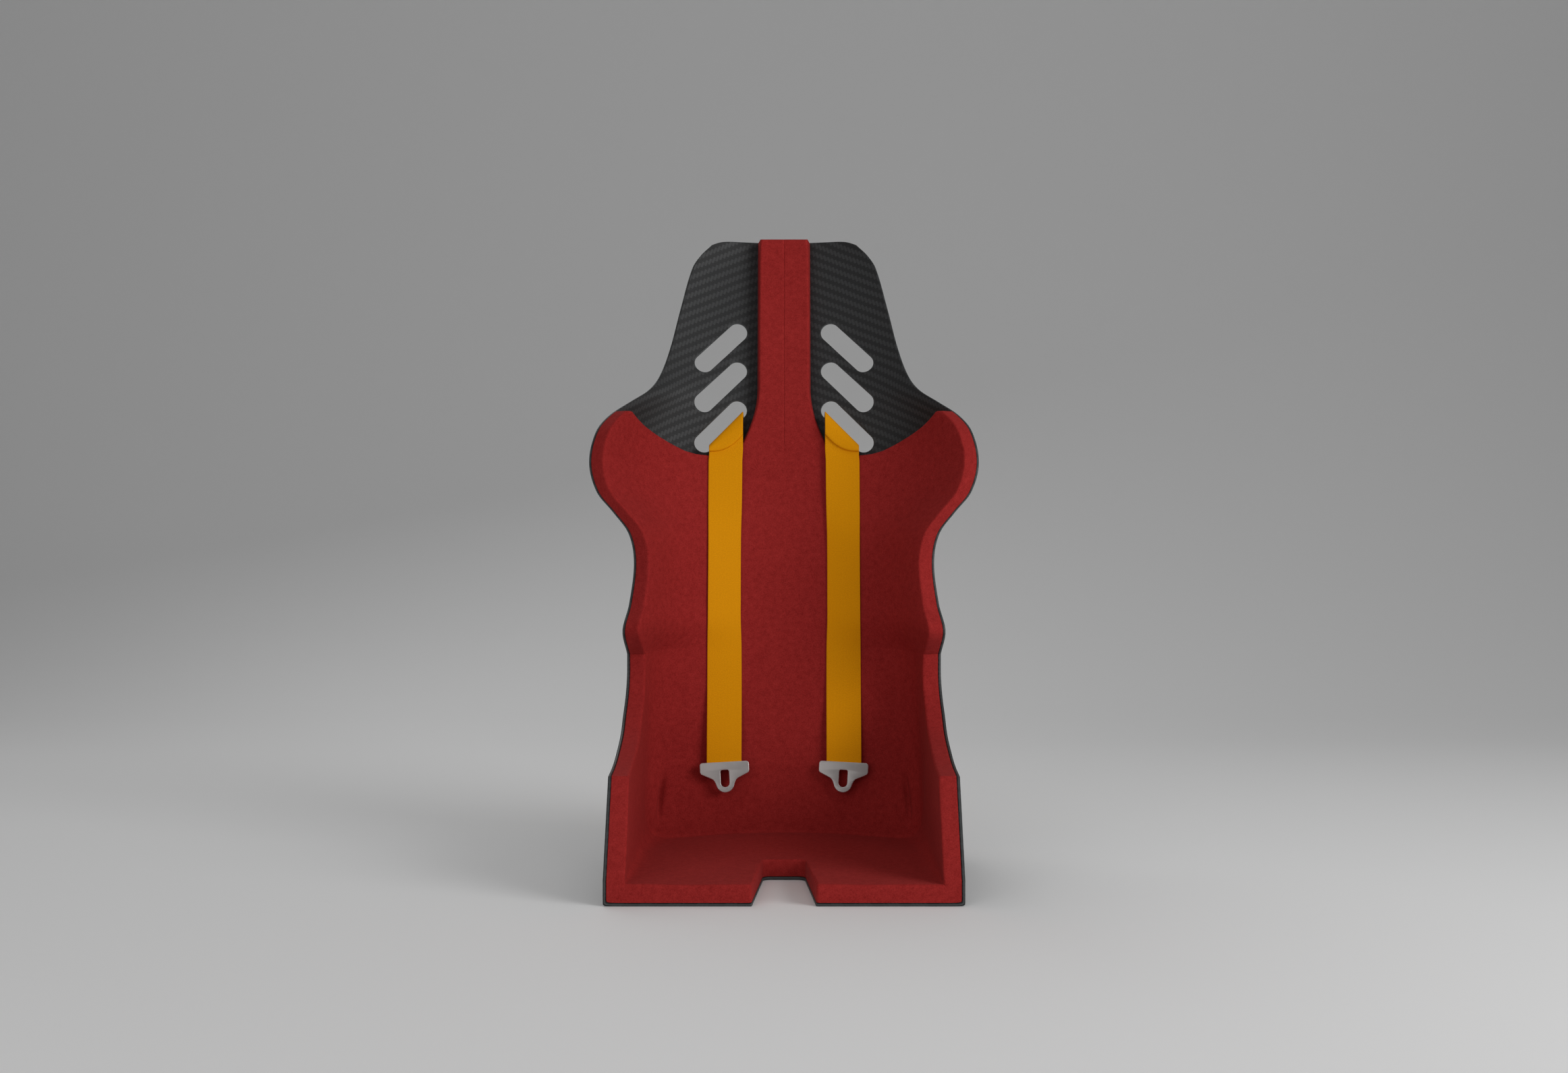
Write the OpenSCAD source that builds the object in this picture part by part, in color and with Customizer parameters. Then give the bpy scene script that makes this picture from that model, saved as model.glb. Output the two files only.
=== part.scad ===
// Racing bucket seat: a one-piece carbon shell with a foam and velour lining, shoulder webbing
// through the lowest pair of harness slots, a latch tongue on each front end and a bolt-in
// anchor on each rear end. The underside rests on z = 0 and the seat faces -Y.

/* [Shell] */
// Height of the seat, from the underside to the top of the head
seat_h = 896; // [850:2:950]
// Angle of the back from upright, in degrees
recline = 11; // [8:0.5:14]
// Depth from the front lip to the line where the floor and the back would meet
pan_depth = 385; // [360:1:410]
// Outside radius of the heel, between the floor and the back
heel_r = 32; // [31:1:50]
// Wall of the carbon shell
wall = 4; // [3:0.5:5]

/* [Widths] */
// Outside width across the base
base_w = 442; // [420:2:470]
// Outside width at the hips, where the rim of the arm ends
hip_w = 438; // [420:2:460]
// Outside width at the waist
waist_w = 420; // [400:2:440]
// Outside width across the shoulder wings
shoulder_w = 548; // [520:2:570]
// Outside width of the head half way up
head_w = 312; // [290:2:330]

/* [Side view] */
// Height of the side wall at the front lip
lip_h = 31; // [24:1:45]
// How far back the side wall reaches its first full height
arm_y = 70; // [60:1:90]
// Height of the side wall there
arm_z = 150; // [130:1:170]
// Height at which the arm meets the flank
hip_z = 287; // [275:1:300]
// Distance of the rim behind the front lip at that height
hip_y = 325; // [310:1:335]
// Height of the waist
waist_z = 415; // [400:1:430]
// Height of the widest point of the shoulder wings
shoulder_z = 555; // [540:1:570]
// How far the shoulder wings stand forward of the back
wing_reach = 151; // [135:1:165]
// How far the sides of the head stand forward of the back
ear_reach = 35; // [28:1:42]

/* [Lining] */
// Thickness of the lining
pad = 22.5; // [18:0.5:26]
// Glue gap between the lining and the shell
glue = 0.5; // [0.3:0.1:0.8]
// Width of the strip that the lining sends up the head
strip_w = 80; // [70:1:86]
// How far the strip widens on each side at its foot
strip_flare = 38; // [30:1:44]
// Height of the lowest point of the lining's scooped upper edge
scoop_z = 567; // [558:1:576]
// How far that edge climbs towards the rim of the wings
scoop_rise = 62; // [50:1:70]

/* [Crotch strap notch] */
// Depth of the notch from the front lip
notch_depth = 174; // [150:1:190]
// Width at the front lip
notch_front_w = 78; // [70:1:90]
// Width at the back
notch_back_w = 54; // [44:1:64]
// Corner radius at the back
notch_r = 12; // [8:1:16]

/* [Harness slots] */
// Width of a slot
slot_w = 28; // [26:0.2:31]
// Distance between the centres of a slot's round ends
slot_len = 71.5; // [68:0.5:75]
// Rise of a slot towards the middle of the seat, in degrees
slot_rise = 46.5; // [42:0.1:50]
// Distance from the middle of the seat to the middle of a slot
slot_x = 94; // [92:0.5:98]
// Height of the middle of the lowest slot, measured up the back
slot_h = 623; // [618:0.5:630]
// Distance from one slot up to the next
slot_pitch = 60; // [56:0.2:64]
// Slots on each side
slot_count = 3; // [1:1:3]

/* [Webbing] */
// Width of the webbing
web_w = 49.5; // [46:0.5:50]
// Thickness of the webbing
web_t = 1.5; // [1.2:0.1:1.8]
// Distance from the middle of the seat to the middle of a front strap
belt_x = 85; // [83:0.5:88]
// Gap between a strap and what it lies on
web_gap = 1; // [0.8:0.1:1.5]
// Height of the lower end of a front strap
belt_foot_z = 131.5; // [126:0.5:155]
// Roll of a strap's lower end, in degrees, outer side down
belt_roll = 3; // [0:0.5:6]
// Length of the rear strap below the slot
tail_len = 420; // [300:5:450]

/* [Latch tongue] */
// Width of the tongue's bar
bar_w = 70; // [66:0.5:74]
// Straight height of the bar's ends
bar_h = 12.5; // [11:0.5:14]
// Width of the blade
blade_w = 26; // [25:0.5:29]
// Height from the top of the bar to the tip of the blade
tongue_h = 43; // [42:0.5:50]
// Thickness of the plate
plate_t = 3; // [2:0.1:3.5]
// Width of the latch window
window_w = 13; // [11:0.5:15]
// Height of the latch window
window_h = 25; // [20:0.5:26]
// Diameter of the pin that holds the webbing loop
pin_d = 5; // [4:0.5:5.5]

/* [Anchor] */
// Width of the anchor plate
anchor_w = 64; // [62:1:70]
// Diameter of the anchor bolt's hole, for a 7/16 inch bolt
bolt_d = 11.5; // [11.2:0.1:13]
// Height from the webbing bar to the bolt's hole
anchor_drop = 36; // [34:1:44]
// Thickness of the anchor plate
anchor_t = 3; // [2.5:0.5:4]

/* [Side mounts] */
// Distance between the front and the rear insert
insert_span = 250; // [220:1:256]
// Distance of the front insert behind the lip
insert_y = 54; // [52:1:60]
// Height of the inserts
insert_z = 100; // [92:1:106]
// Diameter of an insert
insert_d = 20; // [18:0.5:24]
// Length of an insert
insert_len = 12; // [10:0.5:16]
// Bore of an insert, tapped M8
insert_bore = 6.8; // [6:0.1:8]

/* [Hidden] */
$fn = 48;

carbon = "dimgray";
velour = "firebrick";
amber = "goldenrod";
steel = "silver";

function mid(a, b, f) = a + (b - a) * f;
function unit(v) = v / norm(v);
function steps(a, b, n) = [for (k = [0:n - 1]) mid(a, b, k / n)];

// ---- Side view of the shell's outside: a flat floor, the round heel and the straight back.
// A point on it is named by its distance from the front lip, measured along the surface.
heel_turn = 90 - recline;
floor_len = pan_depth - heel_r * tan(heel_turn / 2);
heel_len = heel_r * heel_turn * PI / 180;
heel_top = heel_r * (1 - cos(heel_turn));
function along(z) = floor_len + heel_len + (z - heel_top) / sin(heel_turn);
function turned(s) = max(0, min(heel_turn, (s - floor_len) / heel_r * 180 / PI));
function spine(s) = let (a = turned(s), up = max(0, s - floor_len - heel_len))
    [min(s, floor_len) + heel_r * sin(a) + up * cos(heel_turn),
     heel_r * (1 - cos(a)) + up * sin(heel_turn)];
function inward(s) = let (a = turned(s)) [-sin(a), cos(a)];

// ---- Half sections along that line. A row holds the distance along it, the half-width,
// the rim's place in side view (y, z), how square the section is, how far the wall leans
// out, in degrees, and how much of a plain dish it is (1 at the head, 0 below).
hip_s = along(hip_z);
function arm_row(f, w, fy, fz, square_by, lean) =
    [mid(arm_y, hip_s, f), w / 2, mid(arm_y, hip_y, fy), mid(arm_z, hip_z, fz), square_by, lean, 0];
function back_row(z, w, reach, square_by, lean, dish) =
    [along(z), w / 2, spine(along(z))[0] - reach, z, square_by, lean, dish];
function low_row(f, g, reach, square_by, lean) = back_row(mid(hip_z, waist_z, f),
    mid(hip_w, waist_w, g), reach * wing_reach, square_by, lean, 0);
function wing_row(f, g, reach, square_by, lean) = back_row(mid(waist_z, shoulder_z, f),
    mid(waist_w, shoulder_w, g), reach * wing_reach, square_by, lean, 0);
function neck_row(f, g, reach, square_by, lean, dish) = back_row(mid(shoulder_z, seat_h, f),
    mid(head_w, shoulder_w, g), reach * wing_reach, square_by, lean, dish);
function head_row(f, g, reach) = back_row(mid(shoulder_z, seat_h, f), head_w * g,
    reach * ear_reach, 2, 50, 1);

lip_rows = [
    [0, base_w / 2, 0, lip_h, 40, 0, 0],
    [arm_y, base_w / 2, arm_y, arm_z, 28, 0, 0]
];
arm_rows = [
    arm_row(0, base_w, 0, 0, 28, 0),
    arm_row(0.1, base_w, 0.23, 0.04, 24, 0),
    arm_row(0.19, base_w, 0.41, 0.1, 20, 0),
    arm_row(0.37, base_w, 0.69, 0.24, 15, 0),
    arm_row(0.56, base_w, 0.85, 0.41, 9, 0),
    arm_row(0.73, mid(base_w, hip_w, 0.5), 0.96, 0.59, 5.5, 3),
    arm_row(0.89, hip_w, 1, 0.79, 3.4, 8),
    arm_row(1, hip_w, 1, 1, 2.7, 15)
];
back_rows = [
    back_row(hip_z, hip_w, spine(hip_s)[0] - hip_y, 2.7, 15, 0),
    low_row(0.27, -0.33, 1.09, 2.5, 25),
    low_row(0.55, 0.44, 0.97, 2.45, 30),
    wing_row(0, 0, 0.91, 2.4, 32),
    wing_row(0.29, 0.12, 0.97, 2.4, 33),
    wing_row(0.5, 0.46, 1, 2.4, 34),
    wing_row(0.7, 0.82, 1, 2.3, 35),
    neck_row(0, 1, 1, 2.3, 35, 0),
    neck_row(0.132, 0.933, 0.93, 2.3, 36, 0.05),
    neck_row(0.205, 0.79, 0.79, 2.2, 38, 0.2),
    neck_row(0.264, 0.575, 0.62, 2.2, 40, 0.5),
    neck_row(0.32, 0.358, 0.48, 2.2, 42, 0.8),
    neck_row(0.384, 0.232, 0.38, 2.1, 50, 1),
    neck_row(0.507, 0.112, 0.3, 2, 50, 1),
    head_row(0.689, 0.99, 1.09),
    head_row(0.874, 0.882, 1),
    head_row(0.933, 0.802, 0.94),
    head_row(0.98, 0.7, 0.88),
    head_row(1, 0.665, 0.86)
];

// A smooth curve through the rows, which may bend sharply only where two lists meet
function place(rows, s, i = 0) =
    i >= len(rows) - 2 || s < rows[i + 1][0] ? i : place(rows, s, i + 1);
function grade(rows, i) = let (a = rows[max(i - 1, 0)], b = rows[min(i + 1, len(rows) - 1)])
    (b - a) / (b[0] - a[0]);
function between(rows, s) = let (i = place(rows, s), a = rows[i], b = rows[i + 1],
    h = b[0] - a[0], f = (s - a[0]) / h)
    (2 * f ^ 3 - 3 * f ^ 2 + 1) * a + (f ^ 3 - 2 * f ^ 2 + f) * h * grade(rows, i)
    + (3 * f ^ 2 - 2 * f ^ 3) * b + (f ^ 3 - f ^ 2) * h * grade(rows, i + 1);
function section(s) = between(s < arm_y ? lip_rows : s < hip_s ? arm_rows : back_rows, s);
function lean_of(row, reach) = mid(row[5], atan(row[1] / (2 * reach)), row[6]);

// A point of the seat: s along the side view, a across (-1 and 1 are the rims, 0 the middle)
// and t inside the shell's outer face
function skin(s, a, t) = let (
    row = section(s), foot = spine(s), rim = [row[2], row[3]], base = foot + t * inward(s),
    reach = norm(rim - foot), lean = lean_of(row, reach), half = row[1] - t * cos(lean),
    edge = rim + t * sin(lean) * (rim - foot) / reach,
    deep = norm(edge - base), power = row[4], dish = row[6],
    knee = 2 ^ (-1 / power), b = abs(a),
    g = knee * 2 * min(b, 1 - b), far = (1 - g ^ power) ^ (1 / power),
    u = b <= 0.5 ? g : far, v = 1 - (b <= 0.5 ? far : g),
    flat = b <= 0.5 ? g : mid(knee, 1, 2 * b - 1),
    open = deep * tan(lean) / 4,
    x = mid((half - open) * u + open * v ^ 4, half * flat, dish),
    q = base + mid(v, flat ^ 2, dish) * (edge - base))
    [sign(a) * x, q[0], q[1]];

// The share a at which the middle part of a section is x from the centre line
function across(s, x, t = 0) = let (row = section(s), foot = spine(s),
    reach = norm([row[2], row[3]] - foot), lean = lean_of(row, reach),
    open = (1 - row[6]) * reach * tan(lean) / 4)
    x / (2 * 2 ^ (-1 / row[4]) * (row[1] - t * cos(lean) - open));

// ---- The lattice that the shell and the lining share. Its rows run level, apart from those
// near the lining's scooped edge, which follow it, and its fourth column from the middle
// follows the edge of the strip.
cols = 24;
edge_col = 3;
low_z = mid(waist_z, shoulder_z, 0.464);
high_z = mid(shoulder_z, seat_h, 0.557);
top_shares = [0.17, 0.36, 0.55, 0.7, 0.78, 0.85, 0.905, 0.95, 0.99, 1];
crown = 7;
flare_top = 1.32 * strip_w;
function scoop(a) = let (f = max(0, (abs(a) - 0.33) / 0.67))
    scoop_z + scoop_rise * (1 - cos(180 * f ^ 0.85)) / 2;
function strip_half(z) =
    strip_w / 2 + strip_flare * min(1, max(0, 1 - (z - scoop_z) / flare_top)) ^ 2;
function column(z, f, j) = let (edge = mid(0.25, across(along(z), strip_half(z)), f))
    j <= edge_col ? edge * j / edge_col : j <= 6 ? mid(edge, 0.5, (j - edge_col) / 3) : j / 12;
lattice_rows = [
    for (s = steps(0, arm_y, 3)) [0, s],
    for (s = steps(arm_y, floor_len, 7)) [0, s],
    for (s = steps(floor_len, floor_len + heel_len, 5)) [0, s],
    for (s = steps(floor_len + heel_len, hip_s, 7)) [0, s],
    for (z = steps(hip_z, low_z, 8)) [0, along(z)],
    for (f = steps(0, 1, 7)) [1, f],
    for (f = steps(0, 1, 8)) [2, f],
    [3, 0],
    for (f = top_shares) [3, f]
];
hip_row = 22;
scoop_row = 37;
last_row = len(lattice_rows) - 1;
strip_row = last_row - 1;
function lattice(i, j) = let (kind = lattice_rows[i][0], f = lattice_rows[i][1],
    side = j < cols / 2 ? -1 : 1, k = abs(j - cols / 2))
    kind == 0 ? [f, side * k / 12]
    : kind == 1 ? let (a = column(scoop_z, f, k)) [along(mid(low_z, scoop(a), f)), side * a]
    : kind == 2 ? let (a = column(mid(scoop_z, high_z, f), 1, k))
        [along(mid(scoop(a), high_z, f)), side * a]
    : let (z = mid(high_z, seat_h, f), a = column(z, 1, k))
        [along(z - crown * f * a ^ 8), side * a];
function sheet(t, first, last) = [for (i = [first:last]) [for (j = [0:cols])
    let (p = lattice(i, j)) skin(p[0], p[1], t)]];

// A closed slab between two sheets of points, over the cells that keep() allows
module slab(near, far, keep = function(i, j) true) {
    m = len(near);
    n = len(near[0]);
    size = m * n;
    function has(i, j) = i >= 0 && j >= 0 && i < m - 1 && j < n - 1 && keep(i, j);
    function at(i, j) = i * n + j;
    function quad(a, b, c, d, mirrored) =
        mirrored ? [[a, b, d], [b, c, d]] : [[a, b, c], [a, c, d]];
    function rim(p, q) = [[p, q, q + size], [p, q + size, p + size]];
    faces = [
        for (i = [0:m - 2]) for (j = [0:n - 2]) if (has(i, j)) let (
            a = at(i, j), b = at(i, j + 1), c = at(i + 1, j + 1), d = at(i + 1, j),
            turn = j < (n - 1) / 2)
            each concat(quad(a, b, c, d, turn),
                [for (f = quad(a, b, c, d, turn)) [f[2] + size, f[1] + size, f[0] + size]],
                has(i - 1, j) ? [] : rim(b, a), has(i, j + 1) ? [] : rim(c, b),
                has(i + 1, j) ? [] : rim(d, c), has(i, j - 1) ? [] : rim(a, d))
    ];
    polyhedron(points = concat([for (r = near) each r], [for (r = far) each r]), faces = faces);
}

// ---- Frames. centred() moves the finished seat so that its box stands over the origin, and
// back_plane() lays x across, y up the back and z out of its outer face,
// measured from the line where the floor and the back would meet.
depth = spine(along(seat_h))[0];
module centred() {
    translate([0, -depth / 2, 0]) children();
}
module back_plane() {
    translate([0, pan_depth, 0]) rotate([heel_turn, 0, 0]) children();
}
function on_back(x, up, out) = [x,
    pan_depth + up * sin(recline) - out * cos(recline), up * cos(recline) + out * sin(recline)];
module left_or_right(side) {
    if (side > 0) children();
    else mirror([1, 0, 0]) children();
}

// ---- Shell
module slot_outline() {
    rotate(-slot_rise) {
        square([slot_len, slot_w], center = true);
        for (end = [-1, 1]) translate([end * slot_len / 2, 0]) circle(d = slot_w);
    }
}

module notch(spread) {
    half_front = notch_front_w / 2 + spread;
    half_back = notch_back_w / 2 + spread;
    depth = notch_depth + spread;
    slope = atan((half_front - half_back) / depth);
    flank = notch_r * (1 - sin(slope)) / cos(slope);
    translate([0, 0, -1]) linear_extrude(wall + glue + pad + lip_h + 2) {
        difference() {
            polygon([[-half_front - tan(slope), -1], [half_front + tan(slope), -1],
                     [half_back, depth], [-half_back, depth]]);
            for (side = [-1, 1]) notch_corner(side, half_back, depth, slope, flank);
        }
    }
}

// The sliver outside the round at one back corner of the notch
module notch_corner(side, half_back, depth, slope, flank) {
    centre = [side * (half_back - flank), depth - notch_r];
    difference() {
        polygon([[side * (half_back + 1), depth + 1], [side * (half_back - flank), depth + 1],
                 centre, centre + side * (notch_r + 2) * [cos(slope), side * sin(slope)]]);
        translate(centre) circle(notch_r);
    }
}

insert_ys = [insert_y, insert_y + insert_span];
insert_sunk = 2.5;
insert_face = base_w / 2 - insert_sunk;
module at_inserts(side) {
    for (y = insert_ys) translate([side * insert_face, y, insert_z]) rotate([0, -90 * side, 0])
        children();
}

module shell() {
    color(carbon) difference() {
        slab(sheet(0, 0, last_row), sheet(wall, 0, last_row));
        notch(0);
        back_plane() for (side = [-1, 1]) for (k = [0:slot_count - 1])
            translate([side * slot_x, slot_h + k * slot_pitch, -wall])
                linear_extrude(2 * wall + 2 * ear_reach) scale([side, 1]) slot_outline();
        for (side = [-1, 1]) at_inserts(side)
            translate([0, 0, -wall]) cylinder(d = insert_d + 0.1, h = 4 * wall);
    }
}

// ---- Lining
pad_out = wall + glue;
pad_in = wall + glue + pad;
seam_gap = 0.4;

// Eight-sided room in the lining for one insert
module pocket() {
    cylinder(d = (insert_d + 2) / cos(22.5), h = insert_len + wall + 1, $fn = 8);
}

module seat_lining() {
    color(velour) difference() {
        slab(sheet(pad_out, 0, hip_row), sheet(pad_in, 0, hip_row));
        notch(0.6);
        for (side = [-1, 1]) at_inserts(side)
            translate([0, 0, -wall]) pocket();
    }
}

module back_lining() {
    strip_cols = [cols / 2 - edge_col, cols / 2 + edge_col - 1];
    color(velour) translate([0, 0, seam_gap]) slab(
        sheet(pad_out, hip_row, strip_row), sheet(pad_in, hip_row, strip_row),
        function(i, j) i < scoop_row - hip_row || (j >= strip_cols[0] && j <= strip_cols[1]));
}

module mount_inserts(side) {
    color(steel) at_inserts(side) difference() {
        cylinder(d = insert_d, h = insert_len);
        translate([0, 0, -1]) cylinder(d = insert_bore, h = insert_len - 1);
    }
}

// ---- Webbing. Everything here is drawn for the right-hand side and mirrored for the left.
plate_gap = 0.3;
plate_top = -2.5;
plate_back = web_t / 2 + plate_gap;
loop_r = pin_d / 2 + plate_gap + web_t / 2;
pin_at = [0, -8, -loop_r];
ear_r = pin_d / 2 + 2;
ear_t = 2.5;
ear_x = web_w / 2 + 1.2 + ear_t / 2;
foot_lift = loop_r + ear_r + 0.6;
hinge_gap = 0.15;
tip = 0.1;
slot_foot = slot_w / 2 / cos(slot_rise);
function slot_edge(x) = slot_h - (x - slot_x) * tan(slot_rise) - slot_foot;
// How far the face that lies t inside the shell stands out of the back plane at (x, up)
function out_at(x, up, t) = let (s = along(up * cos(recline)), p = skin(s, across(s, x, t), t))
    (pan_depth - p[1]) * cos(recline) + p[2] * sin(recline);
function web_x(q) = belt_x + (q - 0.5) * web_w;

// Height of the fold's lower lip: level at the outer edge, climbing at the inner one
lip_up = slot_edge(web_x(1)) - 7;
lip_rise = 27;
lip_curve = 2.4;
function lip_at(q) = lip_up + lip_rise * (1 - q) ^ lip_curve;
strap_top = lip_up - 8;
belt_out = pad_in + web_gap + web_t / 2;

// A point of the strap at a height and a distance from the middle, lifted off the lining
function strap_edge(up, x, lift) = let (z = up * cos(recline), t = belt_out, s0 = along(z),
    s = s0 - (skin(s0, across(s0, x, t), t)[2] - z) / sin(heel_turn))
    skin(s, across(s, x, t), t) + lift * [0, -cos(recline), sin(recline)];
foot_up = belt_foot_z / cos(recline);
lift_from = foot_up + 2.9 * tongue_h;
function lift_at(up) = let (f = max(0, min(1, (lift_from - up) / (lift_from - foot_up))))
    foot_lift * f * f * (3 - 2 * f);
// The webbing's inner edge stands clear of the hollow of the back where it leaves the fold
inner_lift = 5.2;
inner_from = strap_top - 3 * web_w;
function inner_at(up) = let (f = max(0, (up - inner_from) / (strap_top - inner_from)))
    inner_lift * f * f * (3 - 2 * f);
function strap_mid(up) = (strap_edge(up, web_x(0), lift_at(up) + inner_at(up))
    + strap_edge(up, web_x(1), lift_at(up))) / 2;
function strap_across(up) =
    unit(strap_edge(up, web_x(1), 0) - strap_edge(up, web_x(0), inner_at(up)));

// Frame at a height of the strap: across, up and out, each a unit vector
function strap_axes(up, roll) = let (w0 = strap_across(up),
    d = unit(strap_mid(up + 6) - strap_mid(up)), u0 = unit(d - (d * w0) * w0),
    w = w0 * cos(roll) - u0 * sin(roll), u = u0 * cos(roll) + w0 * sin(roll))
    [w, u, cross(w, u)];
foot = strap_mid(foot_up);
foot_axes = strap_axes(foot_up, belt_roll);
top = strap_mid(strap_top);
top_axes = strap_axes(strap_top, 0);
module in_frame(origin, axes) {
    multmatrix([for (i = [0:2]) [axes[0][i], axes[1][i], axes[2][i], origin[i]]]) children();
}

// A strip of webbing from rows of [middle, across, out, thickness]
module strip(rows) {
    slab([for (r = rows) [for (q = [-0.5, 0.5]) r[0] + q * web_w * r[1] + r[2] * r[3] / 2]],
         [for (r = rows) [for (q = [-0.5, 0.5]) r[0] + q * web_w * r[1] - r[2] * r[3] / 2]]);
}

// A flat strip bent along a path of [out, up, thickness] and drawn across x
module bent_strip(path, w = web_w) {
    n = len(path);
    function side(i) = let (a = path[max(i - 1, 0)], b = path[min(i + 1, n - 1)],
        d = unit([b[0] - a[0], b[1] - a[1]])) [-d[1], d[0]] * path[i][2] / 2;
    function flat(p) = [p[0], p[1]];
    rotate([0, -90, 0]) linear_extrude(w, center = true) polygon(concat(
        [for (i = [0:n - 1]) flat(path[i]) + side(i)],
        [for (i = [n - 1:-1:0]) flat(path[i]) - side(i)]));
}

strap_cells = 20;
module front_strap(side) {
    ups = [for (k = [0:strap_cells]) mid(strap_top, foot_up, k / strap_cells)];
    body = [for (k = [1:strap_cells - 1]) let (up = ups[k],
        axes = strap_axes(up, belt_roll * max(0, k / (strap_cells - 1) * 4 - 3)))
        [strap_mid(up), axes[0], axes[2], web_t]];
    color(amber) left_or_right(side) strip(concat(
        [[top - hinge_gap * top_axes[1], top_axes[0], top_axes[2], tip],
         [top - (hinge_gap + web_t / 2) * top_axes[1], top_axes[0], top_axes[2], web_t]],
        body,
        [[foot + (hinge_gap + web_t / 2) * foot_axes[1], foot_axes[0], foot_axes[2], web_t],
         [foot + hinge_gap * foot_axes[1], foot_axes[0], foot_axes[2], tip]]));
}

// The webbing's way from the rear strap through the slot, over its lower edge and down onto
// the lining, as shares of the way and heights out of the back plane
tail_up = slot_edge(web_x(1)) - 12;
tail_out = -5;
fold_cells = 4;
function fold_path(q) = let (x = web_x(q), edge = slot_edge(x), shell = out_at(x, edge, 0),
    front = out_at(x, strap_top, belt_out) + (1 - q) * inner_lift, low = lip_at(q)) [
    [tail_up + hinge_gap, tail_out, tip],
    [tail_up + hinge_gap + web_t / 2, tail_out, web_t],
    [mid(tail_up, edge, 0.55), min(tail_out, shell - 5), web_t],
    [edge - 1, shell - 4.5, web_t],
    [edge + 1.4, shell - 1.5, web_t],
    [edge + 1.7, shell + wall / 2, web_t],
    [edge + 2, shell + wall + 5, web_t],
    [edge + 2.4, mid(shell + wall + 5, front, 0.5), web_t],
    [edge + 1.2, mid(shell + wall + 5, front, 0.95), web_t],
    [mid(edge, low, 0.35), front + 3.4, web_t],
    [mid(edge, low, 0.7), front + 4.4, web_t],
    [low, front + 3.6, web_t],
    [low - 1.6, front + 1.6, web_t],
    [mid(low, strap_top, 0.6), front, web_t]
];
fold_rows = [for (i = [0:13]) [for (k = [0:fold_cells]) let (q = k / fold_cells)
    concat([web_x(q)], fold_path(q)[i])]];
module slot_webbing(side) {
    m = len(fold_rows);
    points = [for (row = fold_rows) [for (p = row) on_back(p[0], p[1], p[2])]];
    function normal(i, k) = unit(cross(
        points[min(i + 1, m - 1)][k] - points[max(i - 1, 0)][k],
        points[i][min(k + 1, fold_cells)] - points[i][max(k - 1, 0)]));
    function face(s) = concat(
        [for (i = [0:m - 1]) [for (k = [0:fold_cells])
            points[i][k] + s * normal(i, k) * fold_rows[i][k][3] / 2]],
        [for (end = [[web_t / 2, web_t], [0, tip]]) [for (k = [0:fold_cells])
            top + (end[0] + hinge_gap) * top_axes[1] + (k / fold_cells - 0.5) * web_w * top_axes[0]
            + s * top_axes[2] * end[1] / 2]]);
    color(amber) left_or_right(side) slab(face(1), face(-1));
}

// ---- Latch tongue, hung on the strap's foot: x across, y up, z out
function arc(c, r, a0, a1, n) = [for (k = [0:n]) let (a = mid(a0, a1, k / n))
    [c[0] + r * cos(a), c[1] + r * sin(a)]];
function curve(a, b, c, d, n) = [for (k = [1:n]) let (f = k / n)
    (1 - f) ^ 3 * a + 3 * f * (1 - f) ^ 2 * b + 3 * f ^ 2 * (1 - f) * c + f ^ 3 * d];
function thick(points, t) = [for (p = points) [p[0], p[1], t]];
function flipped(points) = [for (k = [len(points) - 1:-1:0]) [-points[k][0], points[k][1]]];

module strap_loop(side) {
    sewn = -web_t - 0.1;
    color(amber) left_or_right(side) in_frame(foot, foot_axes) bent_strip(concat(
        [[0, -hinge_gap, tip], [0, -hinge_gap - web_t / 2, web_t]],
        thick(arc([-loop_r, pin_at[1]], loop_r, 0, -180, 14), web_t),
        thick(curve([-2 * loop_r, pin_at[1]], [-2 * loop_r, pin_at[1] + 4],
                    [sewn, pin_at[1] + 3], [sewn, pin_at[1] + 7.5], 6), web_t)));
}

corner_r = 4;
bend_r = 5;
shoulder_fall = 25;
module tongue_outline() {
    tip_y = plate_top - tongue_h + blade_w / 2;
    bend = [bar_w / 2 - bend_r, plate_top - bar_h];
    neck = [blade_w / 2 + 6.5, bend[1] - bend_r * sin(90 - shoulder_fall)
        - (bend[0] + bend_r * sin(shoulder_fall) - blade_w / 2 - 6.5) * tan(shoulder_fall)];
    half = concat(
        arc([bar_w / 2 - corner_r, plate_top - corner_r], corner_r, 90, 0, 6),
        arc(bend, bend_r, 0, shoulder_fall - 90, 6),
        [neck],
        curve(neck, neck + [-4, -4 * tan(shoulder_fall)], [blade_w / 2, tip_y + 3.5],
              [blade_w / 2, tip_y], 8),
        arc([0, tip_y], blade_w / 2, -6, -90, 10));
    polygon(concat(half, flipped(half)));
}
module latch_window() {
    top_y = plate_top - 10;
    round_top = 2.5;
    low_y = top_y - window_h + window_w / 2;
    translate([0, low_y]) circle(d = window_w);
    translate([-window_w / 2, low_y]) square([window_w, top_y - round_top - low_y]);
    translate([-window_w / 2 + round_top, top_y - round_top - 1])
        square([window_w - 2 * round_top, round_top + 1]);
    for (s = [-1, 1]) translate([s * (window_w / 2 - round_top), top_y - round_top])
        circle(round_top);
}

module latch_tongue(side) {
    color(steel) left_or_right(side) in_frame(foot, foot_axes) {
        translate([0, 0, plate_back]) linear_extrude(plate_t) difference() {
            tongue_outline();
            latch_window();
        }
        for (s = [-1, 1]) translate([s * ear_x, pin_at[1], 0]) difference() {
            union() {
                translate([-ear_t / 2, -ear_r, pin_at[2]])
                    cube([ear_t, 2 * ear_r, plate_back + 0.5 - pin_at[2]]);
                translate([0, 0, pin_at[2]]) rotate([0, 90, 0])
                    cylinder(r = ear_r, h = ear_t, center = true);
            }
            translate([0, 0, pin_at[2]]) rotate([0, 90, 0])
                cylinder(d = pin_d + 0.06, h = ear_t + 1, center = true);
        }
    }
}

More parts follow.
